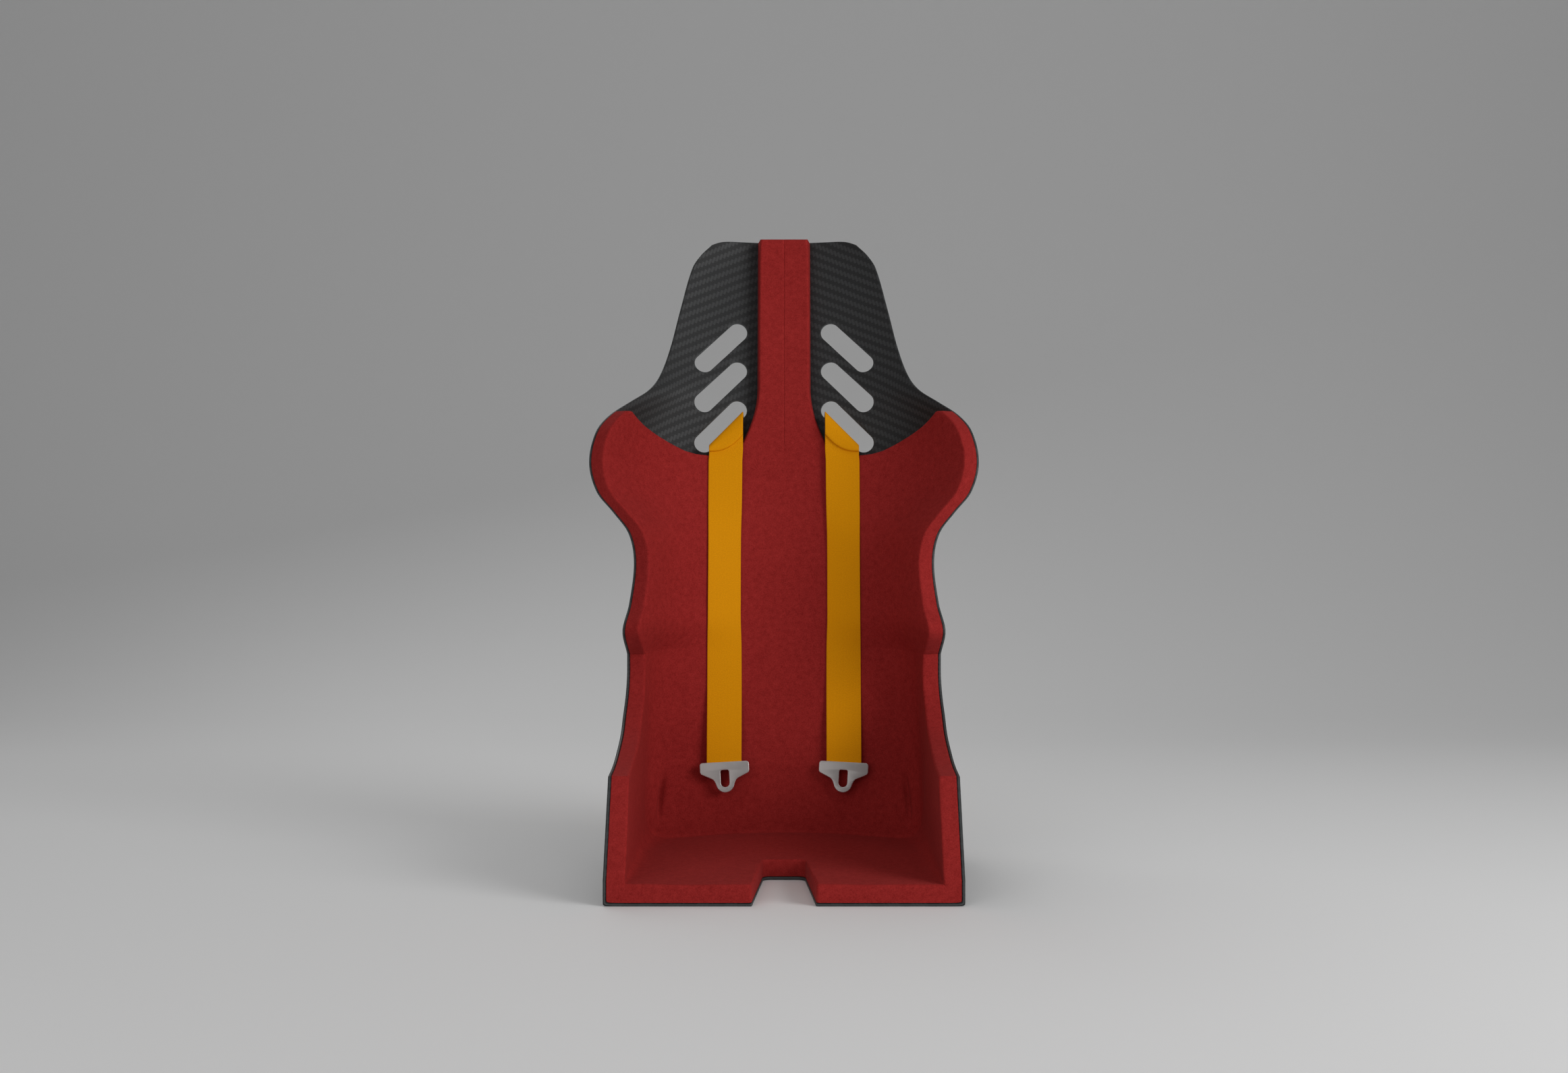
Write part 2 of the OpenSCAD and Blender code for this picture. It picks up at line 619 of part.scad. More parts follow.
module loop_pin(side) {
    color(steel) left_or_right(side) in_frame(foot, foot_axes) translate(pin_at)
        rotate([0, 90, 0]) cylinder(d = pin_d, h = 2 * ear_x + ear_t, center = true);
}

// ---- Rear strap, slide and anchor: x across, y backwards, z up, from the rear strap's hinge
tail = on_back(belt_x, tail_up, tail_out);
bar_half = 2.5;
bar_loop_r = norm([anchor_t / 2, bar_half]) + plate_gap + web_t / 2;
bar_at = [0, bar_loop_r, -tail_len];
slide_up = 58;
slide_h = 28;
slide_bar = 4;
slide_slot = 7;
slide_t = 2.5;
ply = web_t + 0.15;
slide_y = ply + web_t / 2 + plate_gap;
over_y = slide_y + slide_t + plate_gap + web_t / 2;
free_end = 42;
module at_tail(side) {
    left_or_right(side) translate(tail) children();
}

module rear_strap(side) {
    low = bar_at[2];
    foot_z = low + slide_up;
    mid_z = foot_z + slide_h / 2;
    back_path = concat(
        [[0, -hinge_gap, tip], [0, -hinge_gap - web_t / 2, web_t]],
        thick(arc([bar_loop_r, low], bar_loop_r, 180, 360, 14), web_t),
        thick(curve([2 * bar_loop_r, low], [2 * bar_loop_r, low + 7], [ply, low + 8],
                    [ply, low + 16], 6), web_t),
        thick([[ply, foot_z - 3], [ply, foot_z + slide_bar + 1],
               [over_y, mid_z - 3.4], [over_y, mid_z + 3.4],
               [ply, foot_z + slide_h - slide_bar - 1], [ply, foot_z + slide_h + 3],
               [ply, foot_z + slide_h + free_end]], web_t));
    color(amber) at_tail(side) rotate([90, 0, 0]) mirror([0, 0, 1]) bent_strip(back_path);
}

module three_bar_slide(side) {
    w = web_w + 12;
    color(steel) at_tail(side) translate([0, slide_y + slide_t, bar_at[2] + slide_up])
        rotate([90, 0, 0]) linear_extrude(slide_t) difference() {
            translate([-w / 2, 0]) square([w, slide_h]);
            for (y = [slide_bar, slide_h - slide_bar - slide_slot])
                translate([-web_w / 2 - 1, y]) square([web_w + 2, slide_slot]);
        }
}

module anchor_plate(side) {
    window = 9;
    half = concat(
        arc([anchor_w / 2 - bar_half, 0], bar_half, 90, 0, 4),
        [[anchor_w / 2, -bar_half - window - 2]],
        arc([0, -anchor_drop], bolt_d / 2 + 10, 10, -90, 12));
    color(steel) at_tail(side) translate(bar_at + [0, anchor_t / 2, 0])
        rotate([90, 0, 0]) linear_extrude(anchor_t) difference() {
            polygon(concat(half, flipped(half)));
            translate([-web_w / 2 - 1.5, -bar_half - window]) square([web_w + 3, window]);
            translate([0, -anchor_drop]) circle(d = bolt_d);
        }
}

centred() shell();
centred() seat_lining();
centred() back_lining();
centred() slot_webbing(-1);  // slot_webbing_left
centred() slot_webbing(1);  // slot_webbing_right
centred() front_strap(-1);  // front_strap_left
centred() front_strap(1);  // front_strap_right
centred() strap_loop(-1);  // strap_loop_left
centred() strap_loop(1);  // strap_loop_right
centred() latch_tongue(-1);  // latch_tongue_left
centred() latch_tongue(1);  // latch_tongue_right
centred() loop_pin(-1);  // loop_pin_left
centred() loop_pin(1);  // loop_pin_right
centred() rear_strap(-1);  // rear_strap_left
centred() rear_strap(1);  // rear_strap_right
centred() three_bar_slide(-1);  // three_bar_slide_left
centred() three_bar_slide(1);  // three_bar_slide_right
centred() anchor_plate(-1);  // anchor_plate_left
centred() anchor_plate(1);  // anchor_plate_right
centred() mount_inserts(-1);  // mount_inserts_left
centred() mount_inserts(1);  // mount_inserts_right
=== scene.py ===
import math

import bmesh
import bpy
import numpy as np
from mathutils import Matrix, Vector
from mathutils.kdtree import KDTree


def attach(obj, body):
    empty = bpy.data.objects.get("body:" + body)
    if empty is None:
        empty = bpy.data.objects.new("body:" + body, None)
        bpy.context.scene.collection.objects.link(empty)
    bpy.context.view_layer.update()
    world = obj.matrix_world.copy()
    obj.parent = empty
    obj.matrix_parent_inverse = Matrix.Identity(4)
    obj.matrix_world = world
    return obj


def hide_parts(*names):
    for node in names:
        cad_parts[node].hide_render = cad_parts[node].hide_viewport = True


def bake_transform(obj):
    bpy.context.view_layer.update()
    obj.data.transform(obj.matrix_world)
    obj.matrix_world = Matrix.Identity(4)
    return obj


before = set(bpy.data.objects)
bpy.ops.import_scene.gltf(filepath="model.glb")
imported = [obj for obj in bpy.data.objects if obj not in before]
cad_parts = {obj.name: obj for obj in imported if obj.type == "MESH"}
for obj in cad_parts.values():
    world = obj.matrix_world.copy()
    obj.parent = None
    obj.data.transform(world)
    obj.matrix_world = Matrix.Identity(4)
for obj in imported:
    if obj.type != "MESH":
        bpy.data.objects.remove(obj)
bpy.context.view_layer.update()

# ---- Camera: level, on the seat's centre line
camera_data = bpy.data.cameras.new("camera")
camera_data.lens = 42.41
camera_data.sensor_width = 36
camera = bpy.data.objects.new("camera", camera_data)
camera.location = (0, -2.5296, 0.451)
camera.rotation_euler = (math.radians(90), 0, 0)
bpy.context.scene.collection.objects.link(camera)
bpy.context.scene.camera = camera

# ---- Driving sizes of the seat, in millimetres, the same as the solids'
SEAT_H, RECLINE, PAN_DEPTH, HEEL_R, WALL = 896, 11, 385, 32, 4
BASE_W, HIP_W, WAIST_W, SHOULDER_W, HEAD_W = 442, 438, 420, 548, 312
LIP_H, ARM_Y, ARM_Z, HIP_Z, HIP_Y, WAIST_Z, SHOULDER_Z = 31, 70, 150, 287, 325, 415, 555
WING_REACH, EAR_REACH = 151, 35
PAD, GLUE, STRIP_W, STRIP_FLARE, SCOOP_Z, SCOOP_RISE = 22.5, 0.5, 80, 38, 567, 62
NOTCH_DEPTH, NOTCH_FRONT_W, NOTCH_BACK_W, NOTCH_R = 174, 78, 54, 12
SLOT_W, SLOT_LEN, SLOT_RISE, SLOT_X, SLOT_H, SLOT_PITCH, SLOT_COUNT = 28, 71.5, 46.5, 94, 623, 60, 3
WEB_W, WEB_T, BELT_X, WEB_GAP, BELT_FOOT_Z, BELT_ROLL, TAIL_LEN = 49.5, 1.5, 85, 1, 131.5, 3, 420
BAR_W, BAR_H, BLADE_W, TONGUE_H, PLATE_T, WINDOW_W, WINDOW_H, PIN_D = 70, 12.5, 26, 43, 3, 13, 25, 5
ANCHOR_W, BOLT_D, ANCHOR_DROP, ANCHOR_T = 64, 11.5, 36, 3
INSERT_Y, INSERT_SPAN, INSERT_Z, INSERT_D, INSERT_LEN, INSERT_BORE = 54, 250, 100, 20, 12, 6.8


def mid(a, b, f):
    return a + (b - a) * f


def unit(v):
    v = np.asarray(v, float)
    return v / np.linalg.norm(v, axis=-1, keepdims=True)


# ---- Side view of the shell's outside: flat floor, round heel, straight back
HEEL_TURN = 90 - RECLINE
BACK_SIN, BACK_COS = math.sin(math.radians(HEEL_TURN)), math.cos(math.radians(HEEL_TURN))
FLOOR_LEN = PAN_DEPTH - HEEL_R * math.tan(math.radians(HEEL_TURN / 2))
HEEL_LEN = HEEL_R * math.radians(HEEL_TURN)
HEEL_TOP = HEEL_R * (1 - BACK_COS)


def along(z):
    return FLOOR_LEN + HEEL_LEN + (z - HEEL_TOP) / BACK_SIN


def turned(s):
    return np.clip((s - FLOOR_LEN) / HEEL_R, 0, math.radians(HEEL_TURN))


def spine(s):
    a, up = turned(s), np.maximum(0, s - FLOOR_LEN - HEEL_LEN)
    y = np.minimum(s, FLOOR_LEN) + HEEL_R * np.sin(a) + up * BACK_COS
    return np.stack([y, HEEL_R * (1 - np.cos(a)) + up * BACK_SIN], -1)


def inward(s):
    a = turned(s)
    return np.stack([-np.sin(a), np.cos(a)], -1)


DEPTH = float(spine(along(SEAT_H))[0])


# ---- Half sections along that line: distance, half-width, rim y and z, squareness, lean, dish
HIP_S = along(HIP_Z)


def arm_row(f, w, fy, fz, square_by, lean):
    return [mid(ARM_Y, HIP_S, f), w / 2, mid(ARM_Y, HIP_Y, fy), mid(ARM_Z, HIP_Z, fz), square_by, lean, 0]


def back_row(z, w, reach, square_by, lean, dish):
    return [along(z), w / 2, float(spine(along(z))[0]) - reach, z, square_by, lean, dish]


def low_row(f, g, reach, square_by, lean):
    return back_row(mid(HIP_Z, WAIST_Z, f), mid(HIP_W, WAIST_W, g), reach * WING_REACH, square_by, lean, 0)


def wing_row(f, g, reach, square_by, lean):
    return back_row(mid(WAIST_Z, SHOULDER_Z, f), mid(WAIST_W, SHOULDER_W, g), reach * WING_REACH,
                    square_by, lean, 0)


def neck_row(f, g, reach, square_by, lean, dish):
    return back_row(mid(SHOULDER_Z, SEAT_H, f), mid(HEAD_W, SHOULDER_W, g), reach * WING_REACH,
                    square_by, lean, dish)


def head_row(f, g, reach):
    return back_row(mid(SHOULDER_Z, SEAT_H, f), HEAD_W * g, reach * EAR_REACH, 2, 50, 1)


LIP_ROWS = np.array([[0, BASE_W / 2, 0, LIP_H, 40, 0, 0],
                     [ARM_Y, BASE_W / 2, ARM_Y, ARM_Z, 28, 0, 0]], float)
ARM_ROWS = np.array([
    arm_row(0, BASE_W, 0, 0, 28, 0),
    arm_row(0.1, BASE_W, 0.23, 0.04, 24, 0),
    arm_row(0.19, BASE_W, 0.41, 0.1, 20, 0),
    arm_row(0.37, BASE_W, 0.69, 0.24, 15, 0),
    arm_row(0.56, BASE_W, 0.85, 0.41, 9, 0),
    arm_row(0.73, mid(BASE_W, HIP_W, 0.5), 0.96, 0.59, 5.5, 3),
    arm_row(0.89, HIP_W, 1, 0.79, 3.4, 8),
    arm_row(1, HIP_W, 1, 1, 2.7, 15),
], float)
BACK_ROWS = np.array([
    back_row(HIP_Z, HIP_W, float(spine(HIP_S)[0]) - HIP_Y, 2.7, 15, 0),
    low_row(0.27, -0.33, 1.09, 2.5, 25),
    low_row(0.55, 0.44, 0.97, 2.45, 30),
    wing_row(0, 0, 0.91, 2.4, 32),
    wing_row(0.29, 0.12, 0.97, 2.4, 33),
    wing_row(0.5, 0.46, 1, 2.4, 34),
    wing_row(0.7, 0.82, 1, 2.3, 35),
    neck_row(0, 1, 1, 2.3, 35, 0),
    neck_row(0.132, 0.933, 0.93, 2.3, 36, 0.05),
    neck_row(0.205, 0.79, 0.79, 2.2, 38, 0.2),
    neck_row(0.264, 0.575, 0.62, 2.2, 40, 0.5),
    neck_row(0.32, 0.358, 0.48, 2.2, 42, 0.8),
    neck_row(0.384, 0.232, 0.38, 2.1, 50, 1),
    neck_row(0.507, 0.112, 0.3, 2, 50, 1),
    head_row(0.689, 0.99, 1.09),
    head_row(0.874, 0.882, 1),
    head_row(0.933, 0.802, 0.94),
    head_row(0.98, 0.7, 0.88),
    head_row(1, 0.665, 0.86),
], float)


def hermite(rows, s):
    n = len(rows)
    i = np.clip(np.searchsorted(rows[:, 0], s, side="right") - 1, 0, n - 2)
    grade = np.array([(rows[min(k + 1, n - 1)] - rows[max(k - 1, 0)])
                      / (rows[min(k + 1, n - 1)][0] - rows[max(k - 1, 0)][0]) for k in range(n)])
    h = (rows[i + 1, 0] - rows[i, 0])[..., None]
    f = (np.asarray(s) - rows[i, 0])[..., None] / h
    return ((2 * f**3 - 3 * f**2 + 1) * rows[i] + (f**3 - 2 * f**2 + f) * h * grade[i]
            + (3 * f**2 - 2 * f**3) * rows[i + 1] + (f**3 - f**2) * h * grade[i + 1])


def section(s):
    s = np.asarray(s, float)
    out = np.empty(s.shape + (7,))
    lip, back = s < ARM_Y, s >= HIP_S
    for rows, here in ((LIP_ROWS, lip), (ARM_ROWS, ~(lip | back)), (BACK_ROWS, back)):
        out[here] = hermite(rows, s[here])
    return out


def skin(s, a, t):
    """The point s along the side view, a across (-1 and 1 are the rims), t inside the outer face."""
    s, a, t = np.broadcast_arrays(*(np.asarray(v, float) for v in (s, a, t)))
    row, foot = section(s), spine(s)
    rim, power, dish = row[..., 2:4], row[..., 4], row[..., 6]
    base = foot + t[..., None] * inward(s)
    reach = np.linalg.norm(rim - foot, axis=-1)
    lean = mid(np.radians(row[..., 5]), np.arctan(row[..., 1] / (2 * reach)), dish)
    half = row[..., 1] - t * np.cos(lean)
    edge = rim + (t * np.sin(lean) / reach)[..., None] * (rim - foot)
    deep = np.linalg.norm(edge - base, axis=-1)
    knee, b = 2 ** (-1 / power), np.abs(a)
    low = b <= 0.5
    g = knee * 2 * np.minimum(b, 1 - b)
    far = (1 - g**power) ** (1 / power)
    u, v = np.where(low, g, far), 1 - np.where(low, far, g)
    flat = np.where(low, g, mid(knee, 1, 2 * b - 1))
    spread = deep * np.tan(lean) / 4
    x = mid((half - spread) * u + spread * v**4, half * flat, dish)
    q = base + mid(v, flat**2, dish)[..., None] * (edge - base)
    return np.stack([np.sign(a) * x, q[..., 0], q[..., 1]], -1)


def across(s, x, t=0.0):
    """The share a at which the middle part of a section is x from the centre line."""
    row, foot = section(s), spine(s)
    reach = np.linalg.norm(row[..., 2:4] - foot, axis=-1)
    lean = mid(np.radians(row[..., 5]), np.arctan(row[..., 1] / (2 * reach)), row[..., 6])
    spread = (1 - row[..., 6]) * reach * np.tan(lean) / 4
    return x / (2 * 2 ** (-1 / row[..., 4]) * (row[..., 1] - t * np.cos(lean) - spread))


# ---- The lattice of the solids, which takes fractions of its rows and columns here
LOW_Z, HIGH_Z = mid(WAIST_Z, SHOULDER_Z, 0.464), mid(SHOULDER_Z, SEAT_H, 0.557)
TOP_SHARES = [0, 0.17, 0.36, 0.55, 0.7, 0.78, 0.85, 0.905, 0.95, 0.99, 1]
CROWN, FLARE_TOP, EDGE_COL = 7, 1.32 * STRIP_W, 3
HIP_ROW, SCOOP_ROW, STRIP_ROW, LAST_ROW = 22, 37, 54, 55


SCOOP_AT = [0.33] + [0.375 + 0.05 * k for k in range(11)] + [0.92, 0.945]
SCOOP_SHARES = [-0.015, 0.008, 0.084, 0.217, 0.364, 0.486, 0.593,
                0.677, 0.755, 0.822, 0.887, 0.946, 1, 1.015]


def scoop(a):
    """The height of the lining's upper edge, which is drawn up to a corner on each wing."""
    return SCOOP_Z + SCOOP_RISE * np.interp(np.abs(a), SCOOP_AT, SCOOP_SHARES)


def strip_half(z):
    return STRIP_W / 2 + STRIP_FLARE * np.clip(1 - (z - SCOOP_Z) / FLARE_TOP, 0, 1) ** 2


def column(z, f, k):
    edge = mid(0.25, across(along(z), strip_half(z)), f)
    return np.where(k <= EDGE_COL, edge * k / EDGE_COL,
                    np.where(k <= 6, mid(edge, 0.5, (k - EDGE_COL) / 3), k / 12))


def lattice(rows, cols):
    """Arrays of s and a for fractional lattice rows and columns, the middle column being 0."""
    k, side = np.abs(cols), np.sign(cols)
    s_out, a_out = [], []
    spans = [(0, 3, 0, ARM_Y), (3, 10, ARM_Y, FLOOR_LEN), (10, 15, FLOOR_LEN, FLOOR_LEN + HEEL_LEN),
             (15, 22, FLOOR_LEN + HEEL_LEN, HIP_S), (22, 30, HIP_S, along(LOW_Z))]
    for i in rows:
        if i <= 30:
            lo, hi, s0, s1 = next(p for p in spans if i <= p[1])
            s = np.full(len(cols), mid(s0, s1, (i - lo) / (hi - lo)))
            a = k / 12
        elif i <= SCOOP_ROW:
            f = (i - 30) / 7
            a = column(SCOOP_Z, f, k)
            s = along(mid(LOW_Z, scoop(a), f))
        elif i <= 45:
            f = (i - SCOOP_ROW) / 8
            a = column(mid(SCOOP_Z, HIGH_Z, f), 1, k)
            s = along(mid(scoop(a), HIGH_Z, f))
        else:
            f = np.interp(i - 45, range(11), TOP_SHARES)
            z = mid(HIGH_Z, SEAT_H, f)
            a = column(z, 1, k)
            s = along(z - CROWN * f * a**8)
        s_out.append(s)
        a_out.append(side * a)
    return np.array(s_out), np.array(a_out)


def fine(lo, hi, per, near=()):
    """Even fractional steps from lo to hi, with closer ones beside the lines in near."""
    steps = list(np.linspace(lo, hi, int(round((hi - lo) * per)) + 1))
    for line, offsets in near:
        steps += [line + o for o in offsets if lo <= line + o <= hi]
    steps = sorted(steps)
    kept = [steps[0]]
    for x in steps[1:]:
        if x - kept[-1] > 1e-3:
            kept.append(x)
    return np.array(kept)


# ---- Mesh helpers
def to_world(points):
    return (np.asarray(points, float) + [0, -DEPTH / 2, 0]) / 1000


def make_object(name, verts, faces, uvs=None, material=None, smooth=35):
    """An object from points in millimetres in the solids' frame, faces and one (u, v) per point."""
    mesh = bpy.data.meshes.new(name)
    mesh.from_pydata([tuple(v) for v in to_world(verts)], [], [tuple(int(i) for i in f) for f in faces])
    if uvs is not None:
        layer = mesh.uv_layers.new(name="weave")
        loops = np.empty(len(mesh.loops), int)
        mesh.loops.foreach_get("vertex_index", loops)
        layer.data.foreach_set("uv", (np.asarray(uvs, float)[loops] / 1000).ravel())
    b = bmesh.new()
    b.from_mesh(mesh)
    bmesh.ops.recalc_face_normals(b, faces=b.faces)
    b.to_mesh(mesh)
    b.free()
    obj = bpy.data.objects.new(name, mesh)
    bpy.context.scene.collection.objects.link(obj)
    if material:
        mesh.materials.append(material)
    shade(obj, smooth)
    return obj


def shade(obj, angle):
    bpy.context.view_layer.objects.active = obj
    for o in bpy.context.selected_objects:
        o.select_set(False)
    obj.select_set(True)
    bpy.ops.object.shade_smooth_by_angle(angle=math.radians(angle))
    obj.select_set(False)


def lattice_points(keep):
    """Which points the kept cells use and which of those lie on a border, and the cells padded by one."""
    m, n = keep.shape
    used = np.zeros((m + 1, n + 1), bool)
    for di in (0, 1):
        for dj in (0, 1):
            used[di:m + di, dj:n + dj] |= keep
    padded = np.pad(keep, 1)
    count = padded[:-1, :-1].astype(int) + padded[1:, :-1] + padded[:-1, 1:] + padded[1:, 1:]
    return used, used & (count < 4), padded


def slab(layers, keep):
    """Points and quads of a closed slab between the first and the last layer, over the cells
    that keep allows; the layers between them are the loops of its side walls."""
    used, border, padded = lattice_points(keep)
    points, index = [], []
    for level, layer in enumerate(layers):
        here = used if level in (0, len(layers) - 1) else border
        table = np.full(used.shape, -1)
        table[here] = np.arange(here.sum()) + sum(len(p) for p in points)
        points.append(layer[here])
        index.append(table)
    faces = []
    top, bottom = index[0], index[-1]
    for i, j in zip(*np.nonzero(keep)):
        ring = [(i, j), (i, j + 1), (i + 1, j + 1), (i + 1, j)]
        faces.append([top[p] for p in ring])
        faces.append([bottom[p] for p in reversed(ring)])
        beyond = [(i, j + 1), (i + 1, j + 2), (i + 2, j + 1), (i + 1, j)]
        for (p, q), cell in zip(zip(ring, ring[1:] + ring[:1]), beyond):
            if not padded[cell]:
                for a, b in zip(index, index[1:]):
                    faces.append([a[q], a[p], b[p], b[q]])
    return np.vstack(points), faces, used, border


def layer_uvs(layers, used, border, lanes):
    """(u, v) for slab()'s points: distance from the middle and along the side view."""
    out = []
    for level in range(len(layers)):
        here = used if level in (0, len(layers) - 1) else border
        out.append(lanes[here])
    return np.vstack(out)


def lanes_of(points, s):
    step = np.linalg.norm(np.diff(points, axis=1), axis=2)
    run = np.concatenate([np.zeros((len(points), 1)), np.cumsum(step, 1)], 1)
    run -= run[:, points.shape[1] // 2][:, None]
    return np.stack([run, s], -1)


def edge_drop(points, border, used, radius):
    """How far the face falls towards the edge so that it is rounded to radius."""
    spots = points[border]
    tree = KDTree(len(spots))
    for n, p in enumerate(spots):
        tree.insert(Vector(p), n)
    tree.balance()
    drop = np.zeros(points.shape[:2])
    for i, j in zip(*np.nonzero(used)):
        d = tree.find(Vector(points[i, j]))[2]
        if d < radius:
            drop[i, j] = radius - math.sqrt(radius**2 - (radius - d) ** 2)
    return drop


def stack(rings, cap=True):
    """Points and faces of a solid from rings of equally many points."""
    n = len(rings[0])
    faces = [[r * n + k, r * n + (k + 1) % n, (r + 1) * n + (k + 1) % n, (r + 1) * n + k]
             for r in range(len(rings) - 1) for k in range(n)]
    if cap:
        faces += [list(range(n))[::-1], [(len(rings) - 1) * n + k for k in range(n)]]
    return np.vstack(rings), faces


def cut(obj, cutters, slot_index=0):
    for points, faces in cutters:
        tool = make_object("cutter", points, faces)
        tool.data.polygons.foreach_set("material_index", [slot_index] * len(tool.data.polygons))
        modifier = obj.modifiers.new("cut", "BOOLEAN")
        modifier.operation = "DIFFERENCE"
        modifier.solver = "EXACT"
        modifier.object = tool
        bpy.context.view_layer.objects.active = obj
        bpy.ops.object.modifier_apply(modifier=modifier.name)
        bpy.data.objects.remove(tool)


def out_at(x, up, t):
    """How far the face that lies t inside the shell stands out of the back plane."""
    s = along(up * math.cos(math.radians(RECLINE)))
    p = skin(s, across(s, x, t), t)
    r = math.radians(RECLINE)
    return (PAN_DEPTH - p[..., 1]) * math.cos(r) + p[..., 2] * math.sin(r)


def on_back(x, up, out):
    r = math.radians(RECLINE)
    x, up, out = np.broadcast_arrays(*(np.asarray(v, float) for v in (x, up, out)))
    return np.stack([x, PAN_DEPTH + up * math.sin(r) - out * math.cos(r),
                     up * math.cos(r) + out * math.sin(r)], -1)


# ---- Materials
def new_material(name):
    material = bpy.data.materials.new(name)
    material.use_nodes = True
    tree = material.node_tree
    return material, tree, tree.nodes["Principled BSDF"]


def node(tree, kind, inputs=(), **settings):
    made = tree.nodes.new("ShaderNode" + kind)
    for key, value in settings.items():
        setattr(made, key, value)
    for slot_name, value in dict(inputs).items():
        socket = made.inputs[slot_name]
        if isinstance(value, bpy.types.NodeSocket):
            tree.links.new(value, socket)
        else:
            socket.default_value = value
    return made


def sums(tree, operation, a, b=0.0, c=0.0):
    return node(tree, "Math", {0: a, 1: b, 2: c}, operation=operation).outputs[0]


def noise(tree, vector, scale, detail, rough=0.5):
    inputs = {"Vector": vector, "Scale": scale, "Detail": detail, "Roughness": rough}
    return node(tree, "TexNoise", inputs).outputs[0]


def ramp(tree, factor, dark, light):
    made = node(tree, "Mix", {0: factor, 6: (*dark, 1), 7: (*light, 1)}, data_type="RGBA")
    return made.outputs[2]


def bumped(tree, shader, height, strength, distance):
    bump = node(tree, "Bump", {"Height": height, "Strength": strength, "Distance": distance})
    tree.links.new(bump.outputs[0], shader.inputs["Normal"])


def carbon_material():
    """2 x 2 twill whose stripes climb towards the middle on both sides; the warp tows are painted lighter
    as a painted reflection, and each tow is painted darker towards its edges as painted shade.
    """
    material, tree, shader = new_material("carbon_twill")
    uv = node(tree, "UVMap", uv_map="weave").outputs[0]
    wave = noise(tree, uv, 9.0, 2.0)
    parts = node(tree, "SeparateXYZ", {0: uv})
    side = sums(tree, "ABSOLUTE", parts.outputs[0])
    rise, tow = math.radians(TWILL_RISE), TOW / 1000
    up = parts.outputs[1]
    run = sums(tree, "MULTIPLY_ADD", side, -math.cos(rise), sums(tree, "MULTIPLY", up, math.sin(rise)))
    climb = sums(tree, "MULTIPLY_ADD", side, math.sin(rise), sums(tree, "MULTIPLY", up, math.cos(rise)))
    climb = sums(tree, "MULTIPLY_ADD", wave, 0.006, climb)
    k = 1 / (tow * math.sqrt(2))
    p = sums(tree, "MULTIPLY", sums(tree, "ADD", run, climb), k)
    q = sums(tree, "MULTIPLY", sums(tree, "SUBTRACT", run, climb), k)
    step = sums(tree, "SUBTRACT", sums(tree, "FLOOR", p), sums(tree, "FLOOR", q))
    turn = sums(tree, "FLOORED_MODULO", step, 4.0)
    warp = sums(tree, "LESS_THAN", turn, 1.5)
    across_p = sums(tree, "ABSOLUTE", sums(tree, "SUBTRACT", sums(tree, "FRACT", p), 0.5))
    across_q = sums(tree, "ABSOLUTE", sums(tree, "SUBTRACT", sums(tree, "FRACT", q), 0.5))
    edge = node(tree, "Mix", {0: warp, 2: across_p, 3: across_q}, data_type="FLOAT").outputs[0]
    crown = sums(tree, "SUBTRACT", 1.0, sums(tree, "POWER", sums(tree, "MULTIPLY", edge, 2.0), 3.0))
    fibre_uv = node(tree, "CombineXYZ", {0: p, 1: q}).outputs[0]
    fibre = noise(tree, fibre_uv, 3.0, 4.0)
    # warp tows lighter than weft tows: a painted reflection of the fibres
    warp_painted_reflection = sums(tree, "MULTIPLY_ADD", warp, 0.62, 0.1)
    # darker towards each tow's edges: painted shade across the tow's crown
    tone = sums(tree, "MULTIPLY", warp_painted_reflection, sums(tree, "MULTIPLY_ADD", crown, 0.6, 0.4))
    tone = sums(tree, "MULTIPLY_ADD", sums(tree, "SUBTRACT", fibre, 0.5), 0.5, tone)
    tree.links.new(ramp(tree, tone, CARBON_DARK, CARBON_LIGHT), shader.inputs["Base Color"])
    rough = sums(tree, "MULTIPLY_ADD", tone, -0.12, 0.62)
    tree.links.new(rough, shader.inputs["Roughness"])
    shader.inputs["Specular IOR Level"].default_value = 0.35
    bumped(tree, shader, crown, 0.18, 0.0004)
    return material


def edge_material():
    """The cut and polished edge of the laminate: thin plies under resin."""
    material, tree, shader = new_material("carbon_edge")
    spot = node(tree, "TexCoord").outputs["Object"]
    plies = noise(tree, spot, 260.0, 4.0, 0.7)
    tree.links.new(ramp(tree, plies, EDGE_DARK, EDGE_LIGHT), shader.inputs["Base Color"])
    tree.links.new(sums(tree, "MULTIPLY_ADD", plies, 0.2, 0.4), shader.inputs["Roughness"])
    shader.inputs["Specular IOR Level"].default_value = 0.4
    bumped(tree, shader, plies, 0.15, 0.0002)
    return material


def velour_material():
    """Short pile: fine speckle over a soft unevenness of the nap."""
    material, tree, shader = new_material("velour_red")
    spot = node(tree, "TexCoord").outputs["Object"]
    fine_grain = noise(tree, spot, 620.0, 3.0, 0.65)
    nap, broad = noise(tree, spot, 140.0, 3.0), noise(tree, spot, 7.0, 2.0)
    grain = sums(tree, "MULTIPLY_ADD", sums(tree, "SUBTRACT", fine_grain, 0.5), 1.5, 0.5)
    grain = sums(tree, "MULTIPLY_ADD", sums(tree, "SUBTRACT", nap, 0.5), 0.7, grain)
    grain = sums(tree, "MULTIPLY_ADD", sums(tree, "SUBTRACT", broad, 0.5), 0.25, grain)
    tree.links.new(ramp(tree, grain, VELOUR_DARK, VELOUR_LIGHT), shader.inputs["Base Color"])
    shader.inputs["Roughness"].default_value = 0.95
    shader.inputs["Specular IOR Level"].default_value = 0.06
    shader.inputs["Sheen Weight"].default_value = 0.05
    shader.inputs["Sheen Roughness"].default_value = 0.45
    shader.inputs["Sheen Tint"].default_value = (0.9, 0.3, 0.28, 1)
    bumped(tree, shader, fine_grain, 0.35, 0.0006)
    return material


